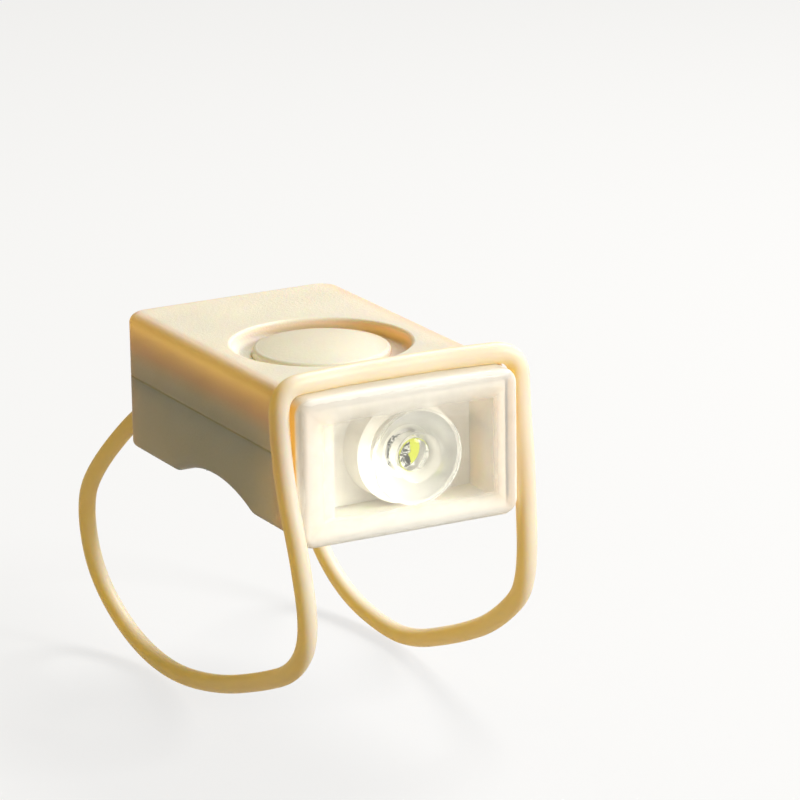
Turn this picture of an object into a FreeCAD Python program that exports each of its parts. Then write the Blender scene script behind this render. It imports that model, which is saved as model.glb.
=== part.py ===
import FreeCAD, Part
import math
import operator
import os
import Sketcher

# Bicycle headlight that a silicone band holds on a handlebar.
# X runs across the light, Y from its clear front to its rear and Z up. The origin is the middle
# of the arch under the case, on the face of the rubber pad that rests on the handlebar.

doc = FreeCAD.newDocument("Headlight")
sheet = doc.addObject("Spreadsheet::Sheet", "Sizes")

# Driving dimensions in millimetres
DIMENSIONS = {
    "fit_gap": (0.05, "between parts that push together"),
    "slide_gap": (0.05, "round the button and the screws' free lengths"),
    "thread_gap": (0.02, "round threads, and the glue behind the pad"),
    "cell_diameter": (20.0, "coin cell"),
    "cell_thickness": (3.2, "coin cell"),
    "cell_cap": (17.7, "smaller face of a coin cell"),
    "cell_gap": (0.15, "coin cell in its cup"),
    "cup_wall": (1.15, "battery cup"),
    "cup_floor": (0.7, "battery cup"),
    "cup_rim": (0.35, "top of the cup under the top of the cells"),
    "side_room": (2.1, "cup to the case's side walls"),
    "front_room": (2.3, "cup to the lamp's compartment"),
    "strip_width": (4.0, "contact strips"),
    "strip_thickness": (0.25, "contact strips"),
    "spring_height": (0.5, "spring contact over the cells"),
    "board_thickness": (1.0, "main board"),
    "board_margin": (1.7, "driver chip to the main board's rear edge"),
    "board_gap": (1.0, "main board to the side walls"),
    "lead_room": (1.8, "lamp's compartment to the main board"),
    "board_corner": (0.8, "corners of the main board"),
    "post_radius": (1.9, "posts that carry the main board"),
    "post_inset": (1.7, "posts from the main board's edges"),
    "switch_width": (6.0, "switch under the button"),
    "switch_height": (1.3, "switch under the button"),
    "plunger_radius": (1.05, "switch plunger"),
    "plunger_rise": (0.75, "plunger over the switch"),
    "plunger_gap": (0.03, "plunger in the switch, and the seal on the button"),
    "button_travel": (0.5, "stroke of the button"),
    "button_wire_room": (0.3, "wires' ends to the button's flange"),
    "button_chip_room": (0.3, "button's flange to the driver chip"),
    "button_radius": (8.6, "button"),
    "button_rise": (0.45, "crown of the button over the top face"),
    "button_sink": (0.5, "button's rim under the top face"),
    "button_edge": (0.6, "rounding of the button's rim"),
    "button_wall": (1.3, "wall of the button"),
    "stem_radius": (1.7, "stem under the button"),
    "flange_room": (0.4, "board to the pressed button"),
    "flange_width": (0.8, "hidden flange of the button"),
    "flange_height": (0.8, "hidden flange of the button"),
    "collar_depth": (1.8, "dish floor to the underside of its collar"),
    "collar_wall": (0.9, "collar outside the dish"),
    "seal_section": (0.42, "radius of the button seal's section"),
    "dish_flat": (1.5, "flat floor between the button and the dish's side"),
    "dish_depth": (1.5, "dish round the button"),
    "dish_lip": (0.4, "rounding of the dish's upper edge"),
    "arch_radius": (25.5, "hollow under the case"),
    "arch_depth": (2.3, "height of the hollow"),
    "arch_floor": (1.3, "floor over the top of the hollow"),
    "arch_blend": (3.0, "rounding at the ends of the hollow"),
    "pad_thickness": (0.7, "rubber pad with its glue"),
    "pad_width": (24.0, "rubber pad across the light"),
    "pad_reach": (9.4, "rubber pad each way from the middle"),
    "seam_height": (9.5, "underside to the parting line"),
    "side_wall": (1.6, "side and rear walls of the case"),
    "top_wall": (1.6, "roof of the case"),
    "rear_floor": (1.5, "floor behind the arch"),
    "rear_room": (3.4, "screw bosses to the rear wall"),
    "case_corner": (3.0, "upright rear corners of the case"),
    "top_edge": (1.2, "rounding of the top edges"),
    "base_edge": (0.8, "rounding of the bottom edges"),
    "seam_bevel": (0.16, "bevel on each side of the parting line"),
    "groove_land": (0.45, "wall outside the seam's seal"),
    "groove_width": (0.7, "seal in the seam"),
    "groove_depth": (0.6, "seal in the seam"),
    "cap_depth": (4.0, "clear front face to the case"),
    "cap_drop": (1.05, "how far the cap hangs below the case"),
    "cap_corner": (2.0, "corners of the cap seen from the front"),
    "cap_edge": (1.1, "rounding of the cap's front edge"),
    "cap_side": (1.5, "side walls of the cap"),
    "cap_roof": (1.6, "top wall of the cap"),
    "cap_seal": (0.3, "seal between the cap and the case"),
    "seal_margin": (0.3, "seal's edge inside the case's outline"),
    "window_thickness": (1.5, "front wall of the cap"),
    "nose_gap": (0.4, "front wall of the cap to the case's nose"),
    "nose_wall": (0.6, "wall of the case's nose"),
    "recess_left": (9.8, "lamp recess's left wall from the middle"),
    "recess_floor": (0.8, "floor under the lamp recess"),
    "recess_depth": (7.4, "nose to the lamp board"),
    "seat_step": (0.5, "lamp board's seat outside the recess"),
    "lamp_board_thickness": (1.0, "lamp board"),
    "optic_right": (1.9, "optic right of the middle of the case"),
    "optic_height": (7.75, "optic's axis above the underside"),
    "optic_radius": (6.0, "optic"),
    "optic_gap": (0.7, "front wall of the cap to the optic"),
    "optic_rim": (0.9, "cylindrical edge of the optic"),
    "optic_step": (0.35, "edge of the optic over its flank"),
    "optic_flank": (9.0, "curve of the optic's flank"),
    "optic_foot": (2.4, "rear end of the optic"),
    "well_radius": (3.0, "well in the optic's face"),
    "well_depth": (1.9, "well in the optic's face"),
    "well_rise": (0.6, "domed bottom of the well"),
    "hollow_radius": (1.8, "hollow in the optic's rear end"),
    "hollow_depth": (1.7, "hollow in the optic's rear end"),
    "hollow_rise": (0.4, "domed bottom of the hollow"),
    "draft": (0.15, "narrowing of the optic's well and hollow"),
    "holder_gap": (0.2, "optic in its holder"),
    "holder_radius": (6.6, "optic's holder"),
    "holder_height": (3.7, "optic's holder"),
    "led_width": (3.5, "lamp's white base"),
    "led_height": (0.65, "lamp's white base"),
    "glow_width": (2.1, "yellow square of the lamp"),
    "glow_height": (0.12, "yellow square of the lamp"),
    "wire_radius": (0.4, "wires to the lamp board"),
    "wire_side": (1.5, "wires from the middle of the case"),
    "wire_bend": (0.7, "bends of the wires"),
    "screw_radius": (1.0, "case screws' thread"),
    "screw_head": (1.9, "case screws' head"),
    "screw_head_height": (1.4, "case screws' head"),
    "screw_sink": (0.3, "case screws' heads under the underside"),
    "screw_length": (11.0, "case screws under the head"),
    "boss_wall": (0.35, "screw bosses round the heads' seats"),
    "boss_gap": (1.3, "main board to the screw bosses"),
    "boss_side": (0.5, "screw bosses to the side walls"),
    "small_screw_radius": (0.7, "board screws' thread"),
    "small_screw_head": (1.3, "board screws' head"),
    "small_screw_head_height": (0.55, "board screws' head"),
    "small_screw_length": (3.4, "board screws under the head"),
    "driver_width": (1.0, "cross slots in the screws"),
    "band_radius": (1.3, "section of the band"),
    "band_gap": (0.1, "band to the case"),
    "hook_width": (19.0, "band's hook on the rear face"),
    "hook_height": (3.5, "band's middle in its hook above the underside"),
    "hook_wall": (1.2, "band's hook"),
    "hook_lip": (0.5, "lip of the hook over the band's middle"),
    "hook_bend": (3.0, "bend of the band beside its hook"),
}

# Small parts on the main board: size along X, along Y and up
CHIP = (3.9, 4.0, 1.3)
CHIP_LEAD = (0.6, 0.4, 0.5)
INDUCTOR = (3.8, 3.8, 1.5)
CAPACITOR = (0.9, 1.6, 0.8)
RESISTOR = (0.6, 1.1, 0.35)

SIGNS = {"+": operator.add, "-": operator.sub, "*": operator.mul, "/": operator.truediv}


class Size:
    """A length: its value, and the formula in the sheet's names that gives it."""

    def __init__(self, value, formula):
        self.value = value
        self.formula = formula

    def __add__(self, other):
        return joined(self, "+", other)

    def __radd__(self, other):
        return joined(other, "+", self)

    def __sub__(self, other):
        return joined(self, "-", other)

    def __rsub__(self, other):
        return joined(other, "-", self)

    def __mul__(self, other):
        return joined(self, "*", other)

    def __rmul__(self, other):
        return joined(other, "*", self)

    def __truediv__(self, other):
        return joined(self, "/", other)

    def __neg__(self):
        return joined(0, "-", self)


def as_size(number):
    """Give a plain number the form of a size."""
    return number if isinstance(number, Size) else Size(float(number), repr(number))


def joined(left, sign, right):
    """Join two sizes with a sign, in value and in formula."""
    left = as_size(left)
    right = as_size(right)
    return Size(SIGNS[sign](left.value, right.value), f"({left.formula} {sign} {right.formula})")


def square_root(size):
    """Square root of a size, for points on a circle."""
    return Size(math.sqrt(size.value), f"sqrt({size.formula})")


def arc_rise(radius, across):
    """Height of a circle's point over its middle, at a distance across."""
    return square_root(radius * radius - across * across)


def dome_radius(reach, rise):
    """Radius of the arc that rises this much over this reach."""
    return (reach * reach + rise * rise) / (2 * rise)


for row, (alias, (value, meaning)) in enumerate(DIMENSIONS.items(), start=1):
    sheet.set(f"A{row}", meaning)
    sheet.set(f"B{row}", str(value))
    sheet.setAlias(f"B{row}", alias)
doc.recompute()
S = {alias: Size(float(sheet.get(alias)), f"Sizes.{alias}") for alias in DIMENSIONS}

# Stack of parts from the pad up to the top face
BASE = S["pad_thickness"] - S["arch_depth"]
FLOOR = BASE + S["arch_depth"] + S["arch_floor"]
CUP_INSIDE = FLOOR + S["cup_floor"]
LOWER_CELL = CUP_INSIDE + S["strip_thickness"]
UPPER_CELL = LOWER_CELL + S["cell_thickness"]
CELLS_TOP = UPPER_CELL + S["cell_thickness"]
BOARD_BASE = CELLS_TOP + S["spring_height"]
BOARD_TOP = BOARD_BASE + S["board_thickness"]
SWITCH_TOP = BOARD_TOP + S["switch_height"]
PLUNGER_TOP = SWITCH_TOP + S["plunger_rise"]
FLANGE_BASE = BOARD_TOP + S["button_travel"] + S["flange_room"]
FLANGE_TOP = FLANGE_BASE + S["flange_height"]
COLLAR_BASE = FLANGE_TOP + S["slide_gap"]
DISH_FLOOR = COLLAR_BASE + S["collar_depth"]
TOP = DISH_FLOOR + S["dish_depth"]
CEILING = TOP - S["top_wall"]
SEAM = BASE + S["seam_height"]

# Across the light
CUP_HALF = S["cell_diameter"] / 2 + S["cell_gap"] + S["cup_wall"]
INNER_HALF = CUP_HALF + S["side_room"]
HALF = INNER_HALF + S["side_wall"]
BOARD_HALF = INNER_HALF - S["board_gap"]
POST_SIDE = BOARD_HALF - S["post_inset"]
BOSS_RADIUS = S["screw_head"] + S["slide_gap"] + S["boss_wall"]
BOSS_SIDE = INNER_HALF - S["boss_side"] - BOSS_RADIUS
NOSE_HALF = HALF - S["cap_side"] - S["fit_gap"]
RECESS_RIGHT = NOSE_HALF - S["nose_wall"]

# From the clear front to the rear
CAVITY_FRONT = -CUP_HALF - S["front_room"]
LAMP_REAR = CAVITY_FRONT - 2 * S["fit_gap"]
LAMP_PLANE = LAMP_REAR - S["lamp_board_thickness"]
NOSE_FRONT = LAMP_PLANE - S["recess_depth"]
WINDOW_REAR = NOSE_FRONT - S["nose_gap"]
FRONT = WINDOW_REAR - S["window_thickness"]
CASE_FRONT = FRONT + S["cap_depth"]
SKIRT_END = CASE_FRONT - S["cap_seal"]
BOARD_FRONT = CAVITY_FRONT + S["lead_room"]
WIRE_END = BOARD_FRONT + S["wire_bend"]
FLANGE_RADIUS = S["button_radius"] + S["flange_width"]
BUTTON_Y = WIRE_END + S["wire_radius"] + S["button_wire_room"] + FLANGE_RADIUS
CHIP_Y = BUTTON_Y + FLANGE_RADIUS + S["button_chip_room"] + CHIP[1] / 2
BOARD_REAR = CHIP_Y + CHIP[1] / 2 + S["board_margin"]
POST_ROWS = (BOARD_FRONT + S["post_inset"], BOARD_REAR - S["post_inset"])
BOSS_Y = BOARD_REAR + S["boss_gap"] + BOSS_RADIUS
REAR = BOSS_Y + BOSS_RADIUS + S["rear_room"] + S["side_wall"]

# Arch, dish, nose, optic and the band's hook
ARCH_CENTRE = BASE + S["arch_depth"] - S["arch_radius"]
ARCH_REACH = arc_rise(S["arch_radius"], S["arch_radius"] - S["arch_depth"])
DISH_FLAT = S["button_radius"] + S["dish_flat"]
DISH_RADIUS = DISH_FLAT + S["dish_depth"]
SEAL_RING = S["button_radius"] + S["plunger_gap"] + S["seal_section"]
SEAL_MIDDLE = COLLAR_BASE + S["slide_gap"] + S["seal_section"]
NOSE_TOP = TOP - S["cap_roof"] - S["fit_gap"]
RECESS_TOP = NOSE_TOP - S["nose_wall"]
RECESS_BASE = BASE + S["recess_floor"]
SEAT_TOP = RECESS_TOP + S["seat_step"]
OPTIC_X = S["optic_right"]
OPTIC_Z = BASE + S["optic_height"]
OPTIC_FRONT = WINDOW_REAR + S["optic_gap"]
FLANK_FRONT = OPTIC_FRONT + S["optic_rim"]
LED_FRONT = LAMP_PLANE - S["led_height"]
OPTIC_REAR = LED_FRONT - S["fit_gap"]
BAND_REACH = S["band_radius"] + S["band_gap"]
HOOK_Y = REAR + BAND_REACH
HOOK_Z = BASE + S["hook_height"]

nodes = []


def keep(thing, label):
    """Make an object one of the light's sub-parts, under its own name."""
    thing.Label = label
    nodes.append(thing)
    return thing


def bind(thing, name, size):
    """Tie a property to its formula in the sheet."""
    thing.setExpression(name, as_size(size).formula)


def block(solid, x, y, z):
    """Size and place a box between a low and a high value on each axis."""
    for name, axis, (low, high) in zip(("Length", "Width", "Height"), "xyz", (x, y, z)):
        bind(solid, name, as_size(high) - low)
        bind(solid, f"Placement.Base.{axis}", low)
    return solid


def upright(solid, x, y, radius, low, high):
    """Size and place an upright cylinder between two heights."""
    bind(solid, "Radius", radius)
    bind(solid, "Height", as_size(high) - low)
    for axis, size in zip("xyz", (x, y, low)):
        bind(solid, f"Placement.Base.{axis}", size)
    return solid


def box(name, x, y, z):
    """A box that stands by itself."""
    return block(doc.addObject("Part::Box", name), x, y, z)


def cylinder(name, x, y, radius, low, high):
    """An upright cylinder that stands by itself."""
    return upright(doc.addObject("Part::Cylinder", name), x, y, radius, low, high)


def fuse(name, solids):
    """Join solids into one."""
    joint = doc.addObject("Part::MultiFuse", name)
    joint.Shapes = solids
    return joint


def cut(name, base, tool):
    """Cut one solid out of another."""
    result = doc.addObject("Part::Cut", name)
    result.Base = base
    result.Tool = tool
    return result


def group(solids, label):
    """Keep small pieces that are alike as one sub-part of separate solids."""
    compound = doc.addObject("Part::Compound", "Group")
    compound.Links = solids
    return keep(compound, label)


def new_body(label):
    """Start a sub-part that is made of features."""
    return keep(doc.addObject("PartDesign::Body", "Body"), label)


def add_box(body, name, x, y, z):
    """Add a box to a body."""
    return block(body.newObject("PartDesign::AdditiveBox", name), x, y, z)


def cut_box(body, name, x, y, z):
    """Cut a box out of a body."""
    return block(body.newObject("PartDesign::SubtractiveBox", name), x, y, z)


def add_cylinder(body, name, x, y, radius, low, high):
    """Add an upright cylinder to a body."""
    return upright(body.newObject("PartDesign::AdditiveCylinder", name), x, y, radius, low, high)


def cut_cylinder(body, name, x, y, radius, low, high):
    """Cut an upright cylinder out of a body."""
    return upright(body.newObject("PartDesign::SubtractiveCylinder", name), x, y, radius, low, high)


def blank_sketch(body, name, plane, offset):
    """An empty sketch on one of the body's origin planes, moved by three sizes."""
    drawing = body.newObject("Sketcher::SketchObject", name)
    support = next(item for item in body.Origin.OriginFeatures if item.Role == plane)
    drawing.AttachmentSupport = [(support, "")]
    drawing.MapMode = "FlatFace"
    for axis, size in zip("xyz", offset):
        bind(drawing, f"AttachmentOffset.Base.{axis}", size)
    return drawing


def constrain(drawing, kind, *where, size):
    """Add one dimension to a sketch and tie it to the sheet."""
    rule = drawing.addConstraint(Sketcher.Constraint(kind, *where, size.value))
    drawing.setExpression(f"Constraints[{rule}]", size.formula)


def arc_between(start, end, radius):
    """Arc from start to end that bends left for a positive radius and right for a negative one."""
    chord = end - start
    left = FreeCAD.Vector(-chord.y, chord.x, 0).normalize()
    rise = math.sqrt(max(radius ** 2 - chord.Length ** 2 / 4, 0.0))
    centre = (start + end) / 2 + left * math.copysign(rise, radius)
    first, last = (start, end) if radius > 0 else (end, start)
    low = math.atan2(first.y - centre.y, first.x - centre.x)
    high = math.atan2(last.y - centre.y, last.x - centre.x)
    if high < low:
        high += 2 * math.pi
    return Part.ArcOfCircle(Part.Circle(centre, FreeCAD.Vector(0, 0, 1), abs(radius)), low, high)


def outline(body, name, plane, points, offset=(0, 0, 0), closed=True):
    """Sketch through points. A point is (u, v), or (u, v, radius) where an arc ends there."""
    drawing = blank_sketch(body, name, plane, offset)
    points = [tuple(as_size(size) for size in point) for point in points]
    corners = [FreeCAD.Vector(point[0].value, point[1].value, 0) for point in points]
    count = len(points)
    ends = []
    for index in range(count if closed else count - 1):
        after = (index + 1) % count
        if len(points[after]) == 3:
            radius = points[after][2]
            edge = drawing.addGeometry(arc_between(corners[index], corners[after], radius.value))
            size = radius if radius.value > 0 else -radius
            constrain(drawing, "Radius", edge, size=size)
            ends.append((edge, 1, 2) if radius.value > 0 else (edge, 2, 1))
        else:
            edge = drawing.addGeometry(Part.LineSegment(corners[index], corners[after]))
            ends.append((edge, 1, 2))
    for index, (edge, first, last) in enumerate(ends):
        constrain(drawing, "DistanceX", edge, first, size=points[index][0])
        constrain(drawing, "DistanceY", edge, first, size=points[index][1])
        if closed or index + 1 < len(ends):
            after, after_first, _ = ends[(index + 1) % len(ends)]
            drawing.addConstraint(Sketcher.Constraint("Coincident", edge, last, after, after_first))
        else:
            constrain(drawing, "DistanceX", edge, last, size=points[-1][0])
            constrain(drawing, "DistanceY", edge, last, size=points[-1][1])
    return drawing


def extrude(body, kind, name, drawing, length, reverse=False, symmetric=False):
    """Pad a sketch, or cut a pocket of its outline."""
    feature = body.newObject("PartDesign::" + kind, name)
    feature.Profile = drawing
    bind(feature, "Length", length)
    feature.Reversed = reverse
    if symmetric:
        feature.SideType = "Symmetric"
    return feature


def turn(body, kind, name, drawing):
    """Revolve a sketch a full turn round its upright axis, or cut that shape."""
    feature = body.newObject("PartDesign::" + kind, name)
    feature.Profile = drawing
    feature.ReferenceAxis = (drawing, ["V_Axis"])
    feature.Angle = 360
    return feature


def soften(body, kind, name, size, wanted):
    """Round or bevel the edges that the test picks by their two ends."""
    doc.recompute()
    base = body.Tip
    picked = []
    for index, edge in enumerate(base.Shape.Edges, start=1):
        if len(edge.Vertexes) == 2 and wanted(*[corner.Point for corner in edge.Vertexes]):
            picked.append(f"Edge{index}")
    feature = body.newObject("PartDesign::" + kind, name)
    feature.Base = (base, picked)
    bind(feature, "Radius" if kind == "Fillet" else "Size", size)
    return feature


def at(value, size):
    """Whether a coordinate lies on a size's plane."""
    return abs(value - size.value) < 1e-4


def case_edge_at(height):
    """Test for the case's outer edges at a height, without the one that meets the cap."""
    def wanted(one, two):
        level = at(one.z, height) and at(two.z, height)
        return level and not (at(one.y, CASE_FRONT) and at(two.y, CASE_FRONT))
    return wanted


def is_base_edge(one, two):
    """Test for the outer bottom edges, which follow the arch along both sides."""
    highest = BASE.value + S["arch_depth"].value + 1e-4
    low = one.z < highest and two.z < highest
    across = one.x * two.x < 0 and not (at(one.y, REAR) and at(two.y, REAR))
    front = at(one.y, CASE_FRONT) and at(two.y, CASE_FRONT)
    return low and not across and not front


def is_arch_end(one, two):
    """Test for the two edges across the light where the arch meets the underside."""
    across = one.x * two.x < 0
    return across and all(at(end.z, BASE) and at(abs(end.y), ARCH_REACH) for end in (one, two))


# Outlines that several pieces share

def case_plan(inset, front):
    """The case seen from above, drawn in from its walls, with rounded rear corners."""
    side = HALF - inset
    back = REAR - inset
    corner = S["case_corner"] - inset
    return [
        (-side, front),
        (side, front),
        (side, back - corner),
        (side - corner, back, corner),
        (corner - side, back),
        (-side, back - corner, corner),
    ]


def seam_seal_plan():
    """The seam's seal seen from above: a strip along both sides and the rear."""
    outside = S["groove_land"]
    inside = outside + S["groove_width"]
    front = CASE_FRONT + S["groove_land"]
    outer = case_plan(outside, front)
    inner = case_plan(inside, front)
    bend = inside - S["case_corner"]
    return outer[1:] + [
        outer[0],
        inner[0],
        inner[5][:2],
        inner[4] + (bend,),
        inner[3][:2],
        inner[2] + (bend,),
        inner[1],
    ]


def rounded_rectangle(left, right, low, high, radius):
    """Rectangle with four round corners."""
    return [
        (left + radius, low, radius),
        (right - radius, low),
        (right, low + radius, radius),
        (right, high - radius),
        (right - radius, high, radius),
        (left + radius, high),
        (left, high - radius, radius),
        (left, low + radius),
    ]


def hollow_nose(body, nose, recess, seat):
    """Add the nose that enters the cap, then cut the lamp's recess and the lamp board's seat."""
    left = -S["recess_left"]
    step = S["seat_step"]
    add_box(body, "Nose", (-NOSE_HALF, NOSE_HALF), (NOSE_FRONT, CASE_FRONT + S["nose_wall"]), nose)
    cut_box(body, "Recess", (left, RECESS_RIGHT), (NOSE_FRONT, LAMP_PLANE), recess)
    cut_box(body, "LampSeat", (left - step, RECESS_RIGHT + step), (LAMP_PLANE, CAVITY_FRONT), seat)


# Case

def make_upper_shell():
    """Top half of the case, with the dish and the collar of the button."""
    body = new_body("upper_shell")
    plan = outline(body, "UpperPlan", "XY_Plane", case_plan(as_size(0), CASE_FRONT), (0, 0, SEAM))
    extrude(body, "Pad", "UpperBlock", plan, TOP - SEAM)
    soften(body, "Fillet", "TopEdges", S["top_edge"], case_edge_at(TOP))
    soften(body, "Chamfer", "UpperSeamBevel", S["seam_bevel"], case_edge_at(SEAM))
    hall = outline(body, "UpperHall", "XY_Plane", case_plan(S["side_wall"], CAVITY_FRONT), (0, 0, SEAM))
    extrude(body, "Pocket", "UpperHollow", hall, CEILING - SEAM, reverse=True)
    roof = CEILING + S["fit_gap"]
    add_cylinder(body, "Collar", 0, BUTTON_Y, DISH_RADIUS + S["collar_wall"], COLLAR_BASE, roof)
    for side in (-1, 1):
        for line in POST_ROWS:
            add_cylinder(body, "Post", side * POST_SIDE, line, S["post_radius"], BOARD_TOP, roof)
        add_cylinder(body, "UpperBoss", side * BOSS_SIDE, BOSS_Y, BOSS_RADIUS, SEAM, roof)
    hollow_nose(body, (SEAM, NOSE_TOP), (SEAM, RECESS_TOP), (SEAM, SEAT_TOP))
    post_thread = S["small_screw_radius"] + S["thread_gap"]
    boss_thread = S["screw_radius"] + S["thread_gap"]
    for side in (-1, 1):
        for line in POST_ROWS:
            cut_cylinder(body, "PostHole", side * POST_SIDE, line, post_thread, BOARD_TOP, CEILING)
        cut_cylinder(body, "UpperBossHole", side * BOSS_SIDE, BOSS_Y, boss_thread, SEAM, CEILING)
    bowl = S["dish_depth"] - S["dish_lip"]
    clear = TOP + S["dish_depth"]
    profile = outline(body, "DishProfile", "XZ_Plane", [
        (0, DISH_FLOOR),
        (DISH_FLAT, DISH_FLOOR),
        (DISH_FLAT + bowl, DISH_FLOOR + bowl, bowl),
        (DISH_RADIUS, TOP, -S["dish_lip"]),
        (DISH_RADIUS, clear),
        (0, clear),
    ], (0, 0, -BUTTON_Y))
    turn(body, "Groove", "Dish", profile)
    hole = S["button_radius"] + S["slide_gap"]
    cut_cylinder(body, "ButtonHole", 0, BUTTON_Y, hole, COLLAR_BASE, DISH_FLOOR)
    seat = SEAL_RING + S["seal_section"] + S["thread_gap"]
    seat_top = SEAL_MIDDLE + S["seal_section"] + S["slide_gap"]
    cut_cylinder(body, "SealSeat", 0, BUTTON_Y, seat, COLLAR_BASE, seat_top)


def make_lower_shell():
    """Bottom half of the case, with the arch for the handlebar and the hook for the band."""
    body = new_body("lower_shell")
    plan = outline(body, "LowerPlan", "XY_Plane", case_plan(as_size(0), CASE_FRONT), (0, 0, BASE))
    extrude(body, "Pad", "LowerBlock", plan, SEAM - BASE)
    below = BASE - S["arch_depth"]
    arch = outline(body, "ArchProfile", "YZ_Plane", [
        (-ARCH_REACH, below),
        (ARCH_REACH, below),
        (ARCH_REACH, BASE),
        (-ARCH_REACH, BASE, S["arch_radius"]),
    ])
    extrude(body, "Pocket", "Arch", arch, 3 * HALF, symmetric=True)
    soften(body, "Fillet", "ArchEnds", S["arch_blend"], is_arch_end)
    soften(body, "Fillet", "BaseEdges", S["base_edge"], is_base_edge)
    soften(body, "Chamfer", "LowerSeamBevel", S["seam_bevel"], case_edge_at(SEAM))
    hall = outline(body, "LowerHall", "XY_Plane", case_plan(S["side_wall"], CAVITY_FRONT), (0, 0, SEAM))
    extrude(body, "Pocket", "LowerHollow", hall, SEAM - FLOOR)
    well_floor = BASE + S["rear_floor"]
    well_y = (CUP_HALF + S["fit_gap"], REAR - 2 * S["side_wall"])
    cut_box(body, "RearWell", (-INNER_HALF, INNER_HALF), well_y, (well_floor, FLOOR))
    boss_foot = well_floor - S["fit_gap"]
    for side in (-1, 1):
        add_cylinder(body, "LowerBoss", side * BOSS_SIDE, BOSS_Y, BOSS_RADIUS, boss_foot, SEAM)
    hollow_nose(body, (BASE, SEAM), (RECESS_BASE, SEAM), (RECESS_BASE, SEAM))
    hole = S["screw_radius"] + S["slide_gap"]
    seat = S["screw_head"] + S["slide_gap"]
    seat_top = BASE + S["screw_sink"] + S["screw_head_height"]
    for side in (-1, 1):
        cut_cylinder(body, "LowerBossHole", side * BOSS_SIDE, BOSS_Y, hole, BASE, SEAM)
        cut_cylinder(body, "HeadSeat", side * BOSS_SIDE, BOSS_Y, seat, BASE, seat_top)
    groove = outline(body, "SealGroovePlan", "XY_Plane", seam_seal_plan(), (0, 0, SEAM))
    extrude(body, "Pocket", "SealGroove", groove, S["groove_depth"])
    bend = S["hook_wall"] / 2
    lip_in = HOOK_Y + BAND_REACH
    lip_out = lip_in + S["hook_wall"]
    lip_top = HOOK_Z + S["hook_lip"]
    shelf = HOOK_Z - BAND_REACH - S["hook_wall"]
    hook = outline(body, "HookProfile", "YZ_Plane", [
        (REAR - bend, shelf),
        (lip_out - bend, shelf),
        (lip_out, shelf + bend, bend),
        (lip_out, lip_top),
        (lip_out - bend, lip_top + bend, bend),
        (lip_in, lip_top, bend),
        (lip_in, HOOK_Z),
        (HOOK_Y, HOOK_Z - BAND_REACH, -BAND_REACH),
        (REAR, HOOK_Z, -BAND_REACH),
        (REAR - bend, HOOK_Z),
    ])
    extrude(body, "Pad", "BandHook", hook, S["hook_width"], symmetric=True)


def make_front_cap():
    """Clear cap that closes the front."""
    body = new_body("front_cap")
    low = BASE - S["cap_drop"]
    face = outline(body, "CapFace", "XZ_Plane",
                   rounded_rectangle(-HALF, HALF, low, TOP, S["cap_corner"]), (0, 0, -FRONT))
    extrude(body, "Pad", "CapBlock", face, SKIRT_END - FRONT, reverse=True)
    soften(body, "Fillet", "CapFrontEdge", S["cap_edge"],
           lambda one, two: at(one.y, FRONT) and at(two.y, FRONT))
    inside = HALF - S["cap_side"]
    cut_box(body, "CapHollow", (-inside, inside), (WINDOW_REAR, SKIRT_END),
            (BASE - S["fit_gap"], TOP - S["cap_roof"]))


def make_cap_gasket():
    """Flat seal between the cap and the case, round the sides and the top of the nose."""
    body = new_body("cap_gasket")
    side = HALF - S["seal_margin"]
    top = TOP - S["seal_margin"]
    low = BASE + S["base_edge"]
    corner = S["cap_corner"] - S["seal_margin"]
    inside = NOSE_HALF + S["fit_gap"]
    inside_top = NOSE_TOP + S["fit_gap"]
    profile = outline(body, "GasketFace", "XZ_Plane", [
        (inside, low),
        (side, low),
        (side, top - corner),
        (side - corner, top, corner),
        (corner - side, top),
        (-side, top - corner, corner),
        (-side, low),
        (-inside, low),
        (-inside, inside_top),
        (inside, inside_top),
    ], (0, 0, -SKIRT_END))
    extrude(body, "Pad", "Gasket", profile, S["cap_seal"], reverse=True)


def make_case_gasket():
    """Seal in the parting line, along both sides and the rear."""
    body = new_body("case_gasket")
    plan = outline(body, "SealPlan", "XY_Plane", seam_seal_plan(), (0, 0, SEAM - S["groove_depth"]))
    extrude(body, "Pad", "SealStrip", plan, S["groove_depth"])


def make_saddle_pad():
    """Rubber pad in the arch, which rests on the handlebar."""
    body = new_body("saddle_pad")
    upper = S["arch_radius"] - S["thread_gap"]
    lower = S["arch_radius"] - S["pad_thickness"]
    reach = S["pad_reach"]
    upper_end = ARCH_CENTRE + arc_rise(upper, reach)
    lower_end = ARCH_CENTRE + arc_rise(lower, reach)
    profile = outline(body, "PadProfile", "YZ_Plane", [
        (reach, lower_end, -lower),
        (reach, upper_end),
        (-reach, upper_end, upper),
        (-reach, lower_end),
    ])
    extrude(body, "Pad", "PadBlock", profile, S["pad_width"], symmetric=True)


# Button and switch

def make_push_button():
    """Low-domed button with a stem that presses the switch."""
    body = new_body("push_button")
    rim = TOP - S["button_sink"]
    crown = TOP + S["button_rise"]
    outer = S["button_radius"]
    edge = S["button_edge"]
    inner = outer - S["button_wall"]
    inside_top = rim - S["button_wall"]
    stem_end = PLUNGER_TOP + S["thread_gap"]
    profile = outline(body, "ButtonProfile", "XZ_Plane", [
        (0, stem_end),
        (S["stem_radius"], stem_end),
        (S["stem_radius"], inside_top),
        (inner, inside_top),
        (inner, FLANGE_BASE),
        (FLANGE_RADIUS, FLANGE_BASE),
        (FLANGE_RADIUS, FLANGE_TOP),
        (outer, FLANGE_TOP),
        (outer, rim - edge),
        (outer - edge, rim, edge),
        (0, crown, dome_radius(outer - edge, crown - rim)),
    ], (0, 0, -BUTTON_Y))
    turn(body, "Revolution", "Button", profile)


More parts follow.
